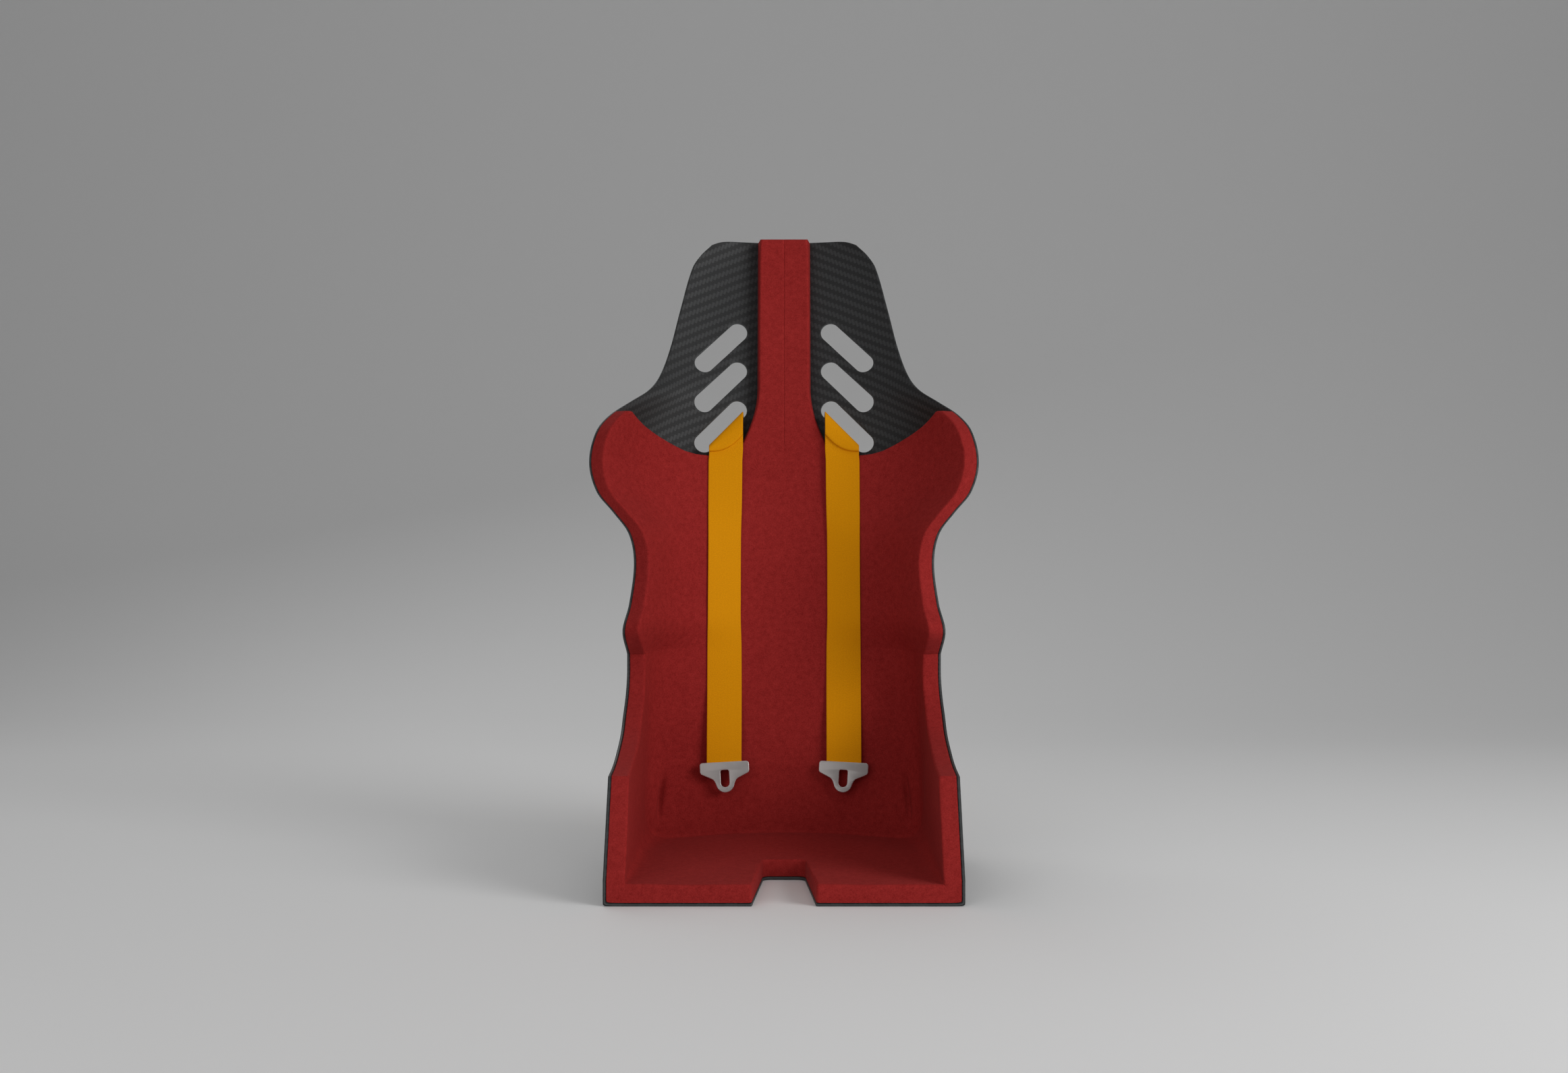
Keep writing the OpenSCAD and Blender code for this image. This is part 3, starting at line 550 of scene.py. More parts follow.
def webbing_material():
    """Ribs along the strap crossed by the picks of the weave."""
    material, tree, shader = new_material("webbing_amber")
    uv = node(tree, "UVMap", uv_map="weave").outputs[0]
    parts = node(tree, "SeparateXYZ", {0: uv})
    ribs = sums(tree, "SINE", sums(tree, "MULTIPLY", parts.outputs[0], 2 * math.pi / RIB))
    picks = sums(tree, "SINE", sums(tree, "MULTIPLY", parts.outputs[1], 2 * math.pi / PICK))
    both = sums(tree, "MULTIPLY", ribs, picks)
    weave = sums(tree, "MULTIPLY_ADD", both, 0.5, sums(tree, "MULTIPLY", ribs, 0.35))
    fuzz = sums(tree, "SUBTRACT", noise(tree, uv, 700.0, 3.0), 0.5)
    tone = sums(tree, "MULTIPLY_ADD", fuzz, 1.3, sums(tree, "MULTIPLY_ADD", weave, 0.16, 0.5))
    tree.links.new(ramp(tree, tone, AMBER_DARK, AMBER_LIGHT), shader.inputs["Base Color"])
    shader.inputs["Roughness"].default_value = 0.72
    shader.inputs["Specular IOR Level"].default_value = 0.06
    bumped(tree, shader, weave, 0.3, 0.0002)
    return material


def steel_material(name, colour, rough):
    """Tumbled steel, a little darker in patches."""
    material, tree, shader = new_material(name)
    spot = node(tree, "TexCoord").outputs["Object"]
    cloud, grit = noise(tree, spot, 90.0, 5.0, 0.6), noise(tree, spot, 1400.0, 2.0)
    dark = tuple(0.86 * c for c in colour)
    tree.links.new(ramp(tree, cloud, dark, colour), shader.inputs["Base Color"])
    tree.links.new(sums(tree, "MULTIPLY_ADD", cloud, 0.14, rough - 0.07), shader.inputs["Roughness"])
    shader.inputs["Metallic"].default_value = 0.7
    bumped(tree, shader, grit, 0.035, 0.0001)
    return material


TWILL_RISE, TOW, RIB, PICK = 22, 4.6, 0.0021, 0.0013
# the third, light steel colour is for the tongues' bevelled rims: a painted highlight
SATIN, PLATED, RIM_HIGHLIGHT = (0.42, 0.4, 0.39), (0.4, 0.4, 0.41), (0.72, 0.69, 0.67)
# the twill's dark and light ends; the light end carries the painted reflection of the warp tows
CARBON_DARK, CARBON_LIGHT = (0.009, 0.0093, 0.0097), (0.034, 0.035, 0.0362)
EDGE_DARK, EDGE_LIGHT = (0.03, 0.034, 0.035), (0.06, 0.066, 0.067)
VELOUR_DARK, VELOUR_LIGHT = (0.2, 0.0105, 0.01), (0.385, 0.03, 0.0275)
AMBER_DARK, AMBER_LIGHT = (0.62, 0.225, 0.0005), (0.84, 0.35, 0.002)
carbon, edge, velour, amber = carbon_material(), edge_material(), velour_material(), webbing_material()
steel = steel_material("steel_satin", SATIN, 0.4)
dark_steel = steel_material("steel_plated", PLATED, 0.36)
# steel for the tongues' bevelled rims, painted lighter as a painted highlight
rim_highlight_steel = steel_material("steel_painted_highlight", RIM_HIGHLIGHT, 0.42)


def own(obj, body, slot_name, *nodes):
    if body:
        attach(obj, body)
    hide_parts(*nodes)
    return obj


# ---- Outlines and solids shared by several pieces
def arc(c, r, a0, a1, n):
    a = np.radians(np.linspace(a0, a1, n + 1))
    return [[c[0] + r * math.cos(t), c[1] + r * math.sin(t)] for t in a]


def curve(a, b, c, d, n):
    a, b, c, d = (np.asarray(p, float) for p in (a, b, c, d))
    return [list((1 - f) ** 3 * a + 3 * f * (1 - f) ** 2 * b + 3 * f * f * (1 - f) * c + f**3 * d)
            for f in np.arange(1, n + 1) / n]


def flipped(points):
    return [[-p[0], p[1]] for p in reversed(points)]


def rounded_box(x0, y0, x1, y1, r, n=5):
    return (arc((x1 - r, y1 - r), r, 90, 0, n) + arc((x1 - r, y0 + r), r, 0, -90, n)
            + arc((x0 + r, y0 + r), r, -90, -180, n) + arc((x0 + r, y1 - r), r, 180, 90, n))


def plate(name, loops, thick, bevel, origin, axes, material, rim=None):
    """A plate with rounded edges from closed loops, laid in a frame of [across, up, out] axes."""
    data = bpy.data.curves.new(name, "CURVE")
    data.dimensions = "2D"
    data.fill_mode = "BOTH"
    data.extrude = (thick / 2 - bevel) / 1000
    data.bevel_depth = bevel / 1000
    data.bevel_resolution = 3
    data.offset = -bevel / 1000
    for loop in loops:
        spline = data.splines.new("POLY")
        spline.points.add(len(loop) - 1)
        for point, (x, y) in zip(spline.points, loop):
            point.co = (x / 1000, y / 1000, 0, 1)
        spline.use_cyclic_u = True
    shape = bpy.data.objects.new(name, data)
    bpy.context.scene.collection.objects.link(shape)
    bpy.context.view_layer.update()
    mesh = bpy.data.meshes.new_from_object(shape.evaluated_get(bpy.context.evaluated_depsgraph_get()))
    bpy.data.objects.remove(shape)
    b = bmesh.new()
    b.from_mesh(mesh)
    bmesh.ops.remove_doubles(b, verts=b.verts, dist=2e-6)
    local = np.array([v.co for v in b.verts]) * 1000
    placed = to_world(np.asarray(origin) + local @ np.asarray(axes, float))
    for v, p in zip(b.verts, placed):
        v.co = p
    bmesh.ops.recalc_face_normals(b, faces=b.faces)
    b.to_mesh(mesh)
    b.free()
    mesh.name = name
    mesh.materials.clear()
    mesh.materials.append(material)
    # rim faces, those not facing along the plate, get the second material; on the tongues that is a painted
    # highlight
    if rim:
        mesh.materials.append(rim)
        for face in mesh.polygons:
            face.material_index = int(abs(face.normal.dot(Vector(axes[2]))) < 0.97)
    obj = bpy.data.objects.new(name, mesh)
    bpy.context.scene.collection.objects.link(obj)
    shade(obj, 30)
    return obj


def lathe(name, profile, origin, axis, material, sides=56):
    """A turned piece: profile of [distance along the axis, radius], both ends at radius 0."""
    axis = unit(axis)
    u = unit(np.cross(axis, [0.0, 0.3, 1.0]))
    v = np.cross(axis, u)
    a = np.linspace(0, 2 * np.pi, sides, endpoint=False)[:, None]
    ring = np.cos(a) * u + np.sin(a) * v
    rings = [np.asarray(origin) + d * axis + max(r, 0.01) * ring for d, r in profile]
    points, faces = stack(rings)
    return make_object(name, points, faces, material=material, smooth=30)


def joined(name, *objs):
    bpy.ops.object.select_all(action="DESELECT")
    for o in objs:
        o.select_set(True)
    bpy.context.view_layer.objects.active = objs[0]
    bpy.ops.object.join()
    objs[0].name = objs[0].data.name = name
    objs[0].select_set(False)
    return objs[0]


# ---- Shell
SHELL_ROUND = 1.3
rows = fine(0, LAST_ROW, 4, [(0, (0.04, 0.09, 0.16)), (LAST_ROW, (-0.3, -0.16, -0.08)),
                             (3, (-0.3, 0.3))])
CORNER = (-0.35, -0.2, -0.13, -0.09, -0.06, -0.03, 0.03, 0.06, 0.09, 0.13, 0.2, 0.35)
cols = fine(-12, 12, 4, [(-12, (0.03, 0.07, 0.13)), (12, (-0.03, -0.07, -0.13)), (-6, CORNER), (6, CORNER)])
keep = np.ones((len(rows) - 1, len(cols) - 1), bool)
s, a = lattice(rows, cols)
used, border, _ = lattice_points(keep)
drop = edge_drop(skin(s, a, WALL / 2), border, used, SHELL_ROUND)
layers = [skin(s, a, drop), skin(s, a, WALL - drop)]
points, faces, used, border = slab(layers, keep)
lanes = lanes_of(layers[0], s)
shell = make_object("seat_shell", points, faces, layer_uvs(layers, used, border, lanes), carbon)
shell.data.materials.append(edge)
outer = len(points) // 2
for face, ring in zip(shell.data.polygons, faces):
    face.material_index = int(min(ring) < outer <= max(ring))


def slot_outline(side, k, grow):
    half, r = SLOT_LEN / 2, SLOT_W / 2 + grow
    loop = np.array(arc((half, 0), r, -90, 90, 20) + arc((-half, 0), r, 90, 270, 20))
    c, sn = math.cos(math.radians(-SLOT_RISE)), math.sin(math.radians(-SLOT_RISE))
    x = loop[:, 0] * c - loop[:, 1] * sn
    up = loop[:, 0] * sn + loop[:, 1] * c
    return side * (SLOT_X + x), SLOT_H + k * SLOT_PITCH + up


SLOT_EDGE = 0.9
round_edge = [(-3, SLOT_EDGE), (0.0, SLOT_EDGE), (0.12, 0.55), (0.4, 0.2), (SLOT_EDGE, 0)]
cutters = []
for side in (-1, 1):
    for k in range(SLOT_COUNT):
        rings = []
        for t, grow in round_edge + [(WALL - t, g) for t, g in reversed(round_edge)]:
            x, up = slot_outline(side, k, grow)
            rings.append(on_back(x, up, out_at(x, up, t)))
        cutters.append(stack(rings))


def notch_ring(spread, z, corner):
    """The notch's outline at a height, with its front corners eased open."""
    half_front, half_back = NOTCH_FRONT_W / 2 + spread, NOTCH_BACK_W / 2 + spread
    depth = NOTCH_DEPTH + spread
    slope = math.atan((half_front - half_back) / depth)
    flank = NOTCH_R * (1 - math.sin(slope)) / math.cos(slope)
    ease = [corner * (1 - math.cos(f)) for f in np.linspace(0, math.pi / 2, 7)]
    flare = [corner * (1 - math.sin(f)) for f in np.linspace(0, math.pi / 2, 7)]
    right = [[half_front + corner, -4.0]]
    right += [[half_front - math.tan(slope) * y + g, y] for y, g in zip(ease, flare)]
    right += arc((half_back - flank, depth - NOTCH_R), NOTCH_R, -math.degrees(slope), 90, 12)
    loop = right + [[-x, y] for x, y in reversed(right)]
    return [[x, y, z] for x, y in loop]


def notch_cutter(spread, z0, z1, r0, r1, corner):
    rings = [notch_ring(spread + r0, z0 - 4, corner)]
    for f in np.linspace(0, math.pi / 2, 5):
        rings.append(notch_ring(spread + r0 * (1 - math.sin(f)), z0 + r0 * (1 - math.cos(f)), corner))
    for f in np.linspace(math.pi / 2, 0, 5):
        rings.append(notch_ring(spread + r1 * (1 - math.sin(f)), z1 - r1 * (1 - math.cos(f)), corner))
    rings.append(notch_ring(spread + r1, z1 + 6, corner))
    return stack([np.array(r) for r in rings])


def cylinder_cutter(side, y, z, x0, x1, r):
    ang = np.linspace(0, 2 * np.pi, 48, endpoint=False)
    ring = np.stack([np.zeros(48), y + r * np.cos(ang), z + r * np.sin(ang)], -1)
    return stack([ring + [side * x0, 0, 0], ring + [side * x1, 0, 0]])


INSERT_SUNK = 2.5
INSERT_FACE = BASE_W / 2 - INSERT_SUNK
insert_spots = [(side, y) for side in (-1, 1) for y in (INSERT_Y, INSERT_Y + INSERT_SPAN)]
cutters.append(notch_cutter(0, 0, WALL, 1, 1, 2.5))
cutters += [cylinder_cutter(side, y, INSERT_Z, INSERT_FACE + 6, INSERT_FACE - 10, INSERT_D / 2 + 0.05)
            for side, y in insert_spots]
cut(shell, cutters, 1)
shade(shell, 32)
own(shell, "seat", "carbon", "shell")

# ---- Lining: one moulded piece with a softly rounded edge
PAD_OUT, PAD_IN, PAD_ROUND = WALL + GLUE, WALL + GLUE + PAD, 3.2
close = (0.02, 0.05, 0.1, 0.17)
rows = fine(0, STRIP_ROW, 4, [
    (0, (0.015, 0.04, 0.08, 0.13)), (HIP_ROW, (-0.2, -0.12, -0.06, -0.03, 0, 0.03, 0.06, 0.12, 0.2)),
    (SCOOP_ROW, (-0.22, -0.14, -0.08, -0.03, 0.03)), (STRIP_ROW, (-0.4, -0.2, -0.1, -0.04))])
cols = fine(-12, 12, 4, [(-12, close), (12, [-c for c in close]),
                         (0, (-0.1, -0.05, -0.02, 0.02, 0.05, 0.1)),
                         (-6, CORNER), (6, CORNER),
                         (-3, (0.03, 0.08, 0.14, 0.22)), (3, (-0.03, -0.08, -0.14, -0.22))])
inner = np.abs((cols[:-1] + cols[1:]) / 2) < EDGE_COL
keep = ((rows[:-1] + rows[1:]) / 2 < SCOOP_ROW)[:, None] | inner[None, :]


def crease(rows, cols, s, a):
    """A shallow fold across the rim where the side panel's cover meets the base's."""
    near = np.exp(-(((rows - HIP_ROW) / 0.05) ** 2))[:, None]
    return s, a * (1 - 0.0032 * near * np.clip((np.abs(cols) - 11) / 1, 0, 1)[None, :] ** 2)


def smooth(f):
    f = np.clip(f, 0, 1)
    return f * f * (3 - 2 * f)


def settled(p, cols):
    """The face where the foam is fitted round the pan: its rear edge bows back in the middle,
    and the cover folds in beside the hips."""
    x, y, z = p[..., 0], p[..., 1], p[..., 2]
    side = np.clip(np.abs(x) / 185, 0, 1.03) ** 2
    rear = smooth((y - 190) / 150)
    out = p.copy()
    out[..., 1] += (5 - 19 * side) * rear * (1 - smooth((z - 40) / 110))
    out[..., 2] += (5 - 9 * side) * rear * (1 - smooth((z - 28) / 80))
    crease_at = np.exp(-(((np.abs(cols) - 5.9) / 0.11) ** 2))[None, :]
    fold = crease_at * np.clip(1 - ((z - 84) / 34) ** 2, 0, 1) * (y > 250)
    out[..., 0] += 4 * fold * np.sign(x)
    out[..., 1] += 7 * fold
    return out


s, a = crease(rows, cols, *lattice(rows, cols))
used, border, _ = lattice_points(keep)
face = skin(s, a, PAD_IN)
drop = edge_drop(face, border, used, PAD_ROUND)
x, y, z = face[..., 0], face[..., 1], face[..., 2]
seam = 0.6 * np.exp(-((x / 0.5) ** 2)) * np.clip((z - 575) / 14, 0, 1)
soft = 0.45 * np.sin(x / 37 + 0.8) * np.sin(z / 53 + y / 61)
soft += 0.25 * np.sin(x / 17 - z / 29) * np.sin(z / 23 + y / 31)
soft *= np.clip(1 - drop / PAD_ROUND, 0, 1)
depth_in = PAD_IN - drop - seam + soft - 0.3
rim = np.abs(a) > 0.999
walls = [(PAD_IN - PAD_ROUND - 3, 0), (PAD_OUT + 6, 0), (PAD_OUT + 1.6, 0), (PAD_OUT + 0.5, 0.0004),
         (PAD_OUT, 0.0011)]
layers = [settled(skin(s, a, depth_in), cols)] + [skin(s, a * (1 - g * rim), t) for t, g in walls]
points, faces, used, border = slab(layers, keep)
uvs = layer_uvs(layers, used, border, lanes_of(face, s))
lining = make_object("lining_pad", points, faces, uvs, velour, 50)
cutters = [notch_cutter(0.6, PAD_OUT, PAD_IN, 0.8, 3, 3.2)]
well_end = INSERT_FACE - INSERT_LEN - 1.5
cutters += [cylinder_cutter(side, y, INSERT_Z, INSERT_FACE + 6, well_end, INSERT_D / 2 + 1)
            for side, y in insert_spots]
cut(lining, cutters)
shade(lining, 50)
own(lining, "seat", "velour", "seat_lining", "back_lining")

# ---- Mount inserts with a chamfered flange and a threaded bore
for side, label in ((-1, "left"), (1, "right")):
    made = []
    for n, y in enumerate((INSERT_Y, INSERT_Y + INSERT_SPAN)):
        r, bore = INSERT_D / 2, INSERT_BORE / 2
        deep = INSERT_LEN - 2
        profile = [(deep, 0), (deep, bore)]
        for p in np.arange(deep - 0.6, 1.1, -1.25):
            profile += [(p, bore), (p - 0.55, bore + 0.38), (p - 0.7, bore + 0.38), (p - 1.2, bore)]
        profile += [(0.7, bore), (0, bore + 0.8), (0, r - 2.6), (0.25, r - 2.4), (0.25, r - 2.1),
                    (0, r - 1.9), (0, r - 0.7), (0.2, r - 0.2), (0.7, r)]
        profile += [(INSERT_LEN - 0.8, r), (INSERT_LEN, r - 0.8), (INSERT_LEN, 0)]
        spot = [side * INSERT_FACE, y, INSERT_Z]
        made.append(lathe(f"insert_{label}_{n}", profile, spot, [-side, 0, 0], dark_steel))
    own(joined(f"inserts_{label}", *made), "seat", "steel", f"mount_inserts_{label}")

# ---- Webbing
R = math.radians(RECLINE)
BELT_OUT = PAD_IN + WEB_GAP + WEB_T / 2
SLOT_FOOT = SLOT_W / 2 / math.cos(math.radians(SLOT_RISE))
LIP_RISE, LIP_CURVE, INNER_LIFT = 27, 2.4, 5.2
PLATE_GAP, PLATE_TOP = 0.3, -2.5
PLATE_BACK = WEB_T / 2 + PLATE_GAP
LOOP_R = PIN_D / 2 + PLATE_GAP + WEB_T / 2
PIN_AT = np.array([0, -8, -LOOP_R])
EAR_R, EAR_T = PIN_D / 2 + 2, 2.5
EAR_X = WEB_W / 2 + 1.2 + EAR_T / 2
FOOT_LIFT = LOOP_R + EAR_R + 0.6
FOOT_UP = BELT_FOOT_Z / math.cos(R)
OUTWARD, UPWARD = np.array([0, -math.cos(R), math.sin(R)]), np.array([0, math.sin(R), math.cos(R)])


def slot_edge(x):
    return SLOT_H - (x - SLOT_X) * math.tan(math.radians(SLOT_RISE)) - SLOT_FOOT


def web_x(q):
    return BELT_X + (q - 0.5) * WEB_W


LIP_UP = slot_edge(web_x(1)) - 7
STRAP_TOP = LIP_UP - 8
TAIL_UP, TAIL_OUT = slot_edge(web_x(1)) - 12, -5


def lip_at(q):
    return LIP_UP + LIP_RISE * (1 - q) ** LIP_CURVE


def strap_edge(up, x, lift):
    z = up * math.cos(R)
    s0 = along(z)
    s1 = s0 - (skin(s0, across(s0, x, BELT_OUT), BELT_OUT)[..., 2] - z) / BACK_SIN
    return skin(s1, across(s1, x, BELT_OUT), BELT_OUT) + lift * OUTWARD


def lift_at(up):
    return FOOT_LIFT * smooth((FOOT_UP + 2.9 * TONGUE_H - up) / (2.9 * TONGUE_H))


def inner_at(up):
    return INNER_LIFT * smooth((up - STRAP_TOP + 3 * WEB_W) / (3 * WEB_W))


def strap_mid(up):
    lift = lift_at(up)
    return (strap_edge(up, web_x(0), lift + inner_at(up)) + strap_edge(up, web_x(1), lift)) / 2


def strap_axes(up, roll):
    w0 = unit(strap_edge(up, web_x(1), 0) - strap_edge(up, web_x(0), inner_at(up)))
    d = unit(strap_mid(up + 6) - strap_mid(up))
    u0 = unit(d - (d @ w0) * w0)
    c, sn = math.cos(math.radians(roll)), math.sin(math.radians(roll))
    w, u = w0 * c - u0 * sn, u0 * c + w0 * sn
    return np.array([w, u, np.cross(w, u)])


foot, foot_axes = strap_mid(FOOT_UP), strap_axes(FOOT_UP, BELT_ROLL)
top = strap_mid(STRAP_TOP)
NEAR_EDGE, EDGE_R = [0, 0.3, 0.9, 2, 4], 0.9
SHARES = np.array(NEAR_EDGE + list(np.linspace(6.5, WEB_W - 6.5, 18))
                  + [WEB_W - d for d in NEAR_EDGE[::-1]]) / WEB_W
MIDDLE = len(SHARES) // 2 - 1


def strap_row(up):
    k = (STRAP_TOP - up) / (STRAP_TOP - FOOT_UP)
    axes = strap_axes(up, BELT_ROLL * max(0, min(1, 4 * k - 3)))
    return strap_mid(up) + np.outer((SHARES - 0.5) * WEB_W, axes[0])


def fold_column(q):
    x = web_x(q)
    edge = slot_edge(x)
    back = float(out_at(x, edge, 0))
    front = float(out_at(x, STRAP_TOP, BELT_OUT)) + (1 - q) * INNER_LIFT
    low = lip_at(q)
    path = [
        [TAIL_UP, TAIL_OUT], [mid(TAIL_UP, edge, 0.3), min(TAIL_OUT, back - 5)],
        [mid(TAIL_UP, edge, 0.6), min(TAIL_OUT, back - 5)], [edge - 1, back - 4.5],
        [edge + 1.4, back - 1.5], [edge + 1.7, back + WALL / 2], [edge + 2, back + WALL + 5],
        [edge + 2.4, mid(back + WALL + 5, front, 0.5)],
        [edge + 1.2, mid(back + WALL + 5, front, 0.95)], [mid(edge, low, 0.35), front + 3.4],
        [mid(edge, low, 0.7), front + 4.3], [mid(edge, low, 0.93), front + 4.3], [low - 0.1, front + 3.5],
        [low - 0.3, front + 2.3], [low - 0.9, front + 0.9], [mid(low, STRAP_TOP, 0.35) - 0.6, front + 0.1],
        [mid(low, STRAP_TOP, 0.7), front]]
    return [on_back(x, up, out) for up, out in path]


def smooth_rows(control, per):
    """Centripetal curve through the rows of a grid, per samples in each of its cells."""
    control = np.asarray(control, float)
    ends = np.concatenate([[2 * control[0] - control[1]], control, [2 * control[-1] - control[-2]]])
    out = []
    for i in range(len(control) - 1):
        p0, p1, p2, p3 = ends[i:i + 4]
        d = [np.sqrt(np.linalg.norm(b - a, axis=-1, keepdims=True)) + 1e-6
             for a, b in ((p0, p1), (p1, p2), (p2, p3))]
        m1 = ((p1 - p0) / d[0] - (p2 - p0) / (d[0] + d[1]) + (p2 - p1) / d[1]) * d[1]
        m2 = ((p2 - p1) / d[1] - (p3 - p1) / (d[1] + d[2]) + (p3 - p2) / d[2]) * d[1]
        n = per[i] if i < len(per) else per[-1]
        for f in np.arange(n) / n:
            out.append((2 * f**3 - 3 * f**2 + 1) * p1 + (f**3 - 2 * f**2 + f) * m1
                       + (3 * f**2 - 2 * f**3) * p2 + (f**3 - f**2) * m2)
    out.append(control[-1])
    return np.array(out)


def ribbon(name, grid, side, first=None):
    """A strip of webbing round a grid of middle points, with rounded edges; side -1 mirrors it."""
    grid = np.asarray(grid, float)
    lengthwise, crosswise = np.gradient(grid, axis=0), np.gradient(grid, axis=1)
    out = unit(np.cross(crosswise, lengthwise))
    if first is not None:
        out[0] = first
    rim = np.minimum(SHARES, 1 - SHARES) * WEB_W
    half = WEB_T / 2 * np.sqrt(np.clip(1 - (1 - np.clip(rim / EDGE_R, 0, 1)) ** 2, 0.06, 1))
    near, far = grid + out * half[None, :, None], grid - out * half[None, :, None]
    keep = np.ones((grid.shape[0] - 1, grid.shape[1] - 1), bool)
    points, faces, used, border = slab([near, far], keep)
    run = np.concatenate([[0], np.cumsum(np.linalg.norm(np.diff(grid[:, MIDDLE], axis=0), axis=1))])
    lanes = np.stack(np.broadcast_arrays((SHARES * WEB_W)[None, :], run[:, None]), -1)
    uvs = layer_uvs([near, far], used, border, lanes)
    if side < 0:
        points = points * [-1, 1, 1]
    return make_object(name, points, faces, uvs, amber, 60)


def placed(p, side):
    return tuple(float(c) for c in to_world(np.asarray(p) * [side, 1, 1]))


OVERLAP = 8
fold = np.array([fold_column(q) for q in SHARES]).transpose(1, 0, 2)
strap_ups = np.linspace(STRAP_TOP, FOOT_UP + OVERLAP, 40)
strap_rows = [strap_row(up) for up in strap_ups]
front_grid = smooth_rows(list(fold) + strap_rows, [2, 3, 3, 4, 4, 3, 4, 4, 6, 5, 5, 6, 6, 6, 5, 4, 4] + [3])


def framed(path, origin, axes):
    """Rows of a strip from [out, up] pairs in a frame."""
    return [origin + np.outer((SHARES - 0.5) * WEB_W, axes[0]) + u * axes[1] + o * axes[2] for o, u in path]


SEWN = -WEB_T - 0.1
loop_path = ([[0, 0]] + arc((-LOOP_R, PIN_AT[1]), LOOP_R, 0, -180, 14)
             + curve([-2 * LOOP_R, PIN_AT[1]], [-2 * LOOP_R, PIN_AT[1] + 4], [SEWN, PIN_AT[1] + 3],
                     [SEWN, PIN_AT[1] + 7.5], 6))
loop_rows = [strap_row(FOOT_UP + d) for d in (OVERLAP, 6, 4, 2)] + framed(loop_path, foot, foot_axes)
loop_grid = smooth_rows(loop_rows, [2])

BAR_HALF = 2.5
tail = on_back(BELT_X, TAIL_UP, TAIL_OUT)
bar_loop_r = math.hypot(ANCHOR_T / 2, BAR_HALF) + PLATE_GAP + WEB_T / 2
bar_at = np.array([0, bar_loop_r, -TAIL_LEN])
SLIDE_UP, SLIDE_H, SLIDE_BAR, SLIDE_SLOT, SLIDE_T, FREE_END = 58, 28, 4, 7, 2.5, 42
ply = WEB_T + 0.15
slide_y = ply + WEB_T / 2 + PLATE_GAP
over_y = slide_y + SLIDE_T + PLATE_GAP + WEB_T / 2
low = bar_at[2]
foot_z = low + SLIDE_UP
mid_z = foot_z + SLIDE_H / 2
slide_top = foot_z + SLIDE_H
step_in, step_up = SLIDE_BAR + SLIDE_SLOT / 2 + 0.4, mid(ply, over_y, 0.5)
rear_path = ([[0, z] for z in [0, -3, -8, -14] + list(np.linspace(-30, low + 20, 22))]
             + arc((bar_loop_r, low), bar_loop_r, 180, 360, 14)
             + curve([2 * bar_loop_r, low], [2 * bar_loop_r, low + 7], [ply, low + 8], [ply, low + 16], 6)
             + [[ply, foot_z - 3], [ply + 0.3, foot_z + SLIDE_BAR - 1], [step_up, foot_z + step_in]]
             + [[over_y, mid_z + d] for d in (-3, 0, 3)]
             + [[step_up, slide_top - step_in], [ply + 0.3, slide_top - SLIDE_BAR + 1]]
             + [[ply, slide_top + d] for d in (3, 14, 28, FREE_END)])
back_axes = np.array([[1.0, 0, 0], [0, 0, 1], [0, 1, 0]])
rear_grid = smooth_rows(framed(rear_path, tail, back_axes), [3])

for side, label in ((-1, "left"), (1, "right")):
    piece = own(ribbon(f"webbing_front_{label}", front_grid, side), None, "webbing",
                f"slot_webbing_{label}", f"front_strap_{label}")
    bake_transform(piece)
    piece = own(ribbon(f"webbing_loop_{label}", loop_grid, side), None, "webbing", f"strap_loop_{label}")
    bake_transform(piece)
    piece = own(ribbon(f"webbing_rear_{label}", rear_grid, side), None, "webbing", f"rear_strap_{label}")
    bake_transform(piece)

# ---- Latch tongues and their pins
CORNER_R, BEND_R, SHOULDER_FALL, NOSE_AT, NECK_OUT, FLARE = 4, 5, 25, 18, 6.5, 4.5
WINDOW_TOP, WINDOW_R, WINDOW_IN = 11.4, 2.5, 0.5
tip_y = PLATE_TOP - TONGUE_H + BLADE_W / 2
shoulder, turn = math.radians(SHOULDER_FALL), math.radians(NOSE_AT)
fall = math.tan(shoulder)
bend = [BAR_W / 2 - BEND_R, PLATE_TOP - BAR_H]
neck_x = BLADE_W / 2 + NECK_OUT
neck = [neck_x, bend[1] - BEND_R * math.cos(shoulder)
        - (bend[0] + BEND_R * math.sin(shoulder) - neck_x) * fall]
nose = np.array([0, tip_y]) + BLADE_W / 2 * np.array([math.cos(turn), -math.sin(turn)])
rise = np.array([math.sin(turn), math.cos(turn)])
half = (arc((BAR_W / 2 - CORNER_R, PLATE_TOP - CORNER_R), CORNER_R, 90, 0, 10)
        + arc(bend, BEND_R, 0, SHOULDER_FALL - 90, 10) + [neck]
        + curve(neck, [neck[0] - FLARE, neck[1] - FLARE * fall], nose + FLARE * rise, nose, 14)
        + arc((0, tip_y), BLADE_W / 2, -NOSE_AT - 4, -90, 18))
outline = half + flipped(half)[1:]
w_half, w_top = WINDOW_W / 2 - WINDOW_IN, PLATE_TOP - WINDOW_TOP
w_low = PLATE_TOP - 10.5 - WINDOW_H + w_half
window = (arc((w_half - WINDOW_R, w_top - WINDOW_R), WINDOW_R, 90, 0, 6)
          + arc((0, w_low), w_half, 0, -180, 24)
          + arc((WINDOW_R - w_half, w_top - WINDOW_R), WINDOW_R, 180, 90, 6))
ear = (arc((PIN_AT[2], PIN_AT[1]), EAR_R, 90, 270, 20)
       + [[PLATE_BACK + 0.5, PIN_AT[1] - EAR_R], [PLATE_BACK + 0.5, PIN_AT[1] + EAR_R]])
hole = arc((PIN_AT[2], PIN_AT[1]), PIN_D / 2 + 0.03, 0, 360 - 360 / 32, 31)

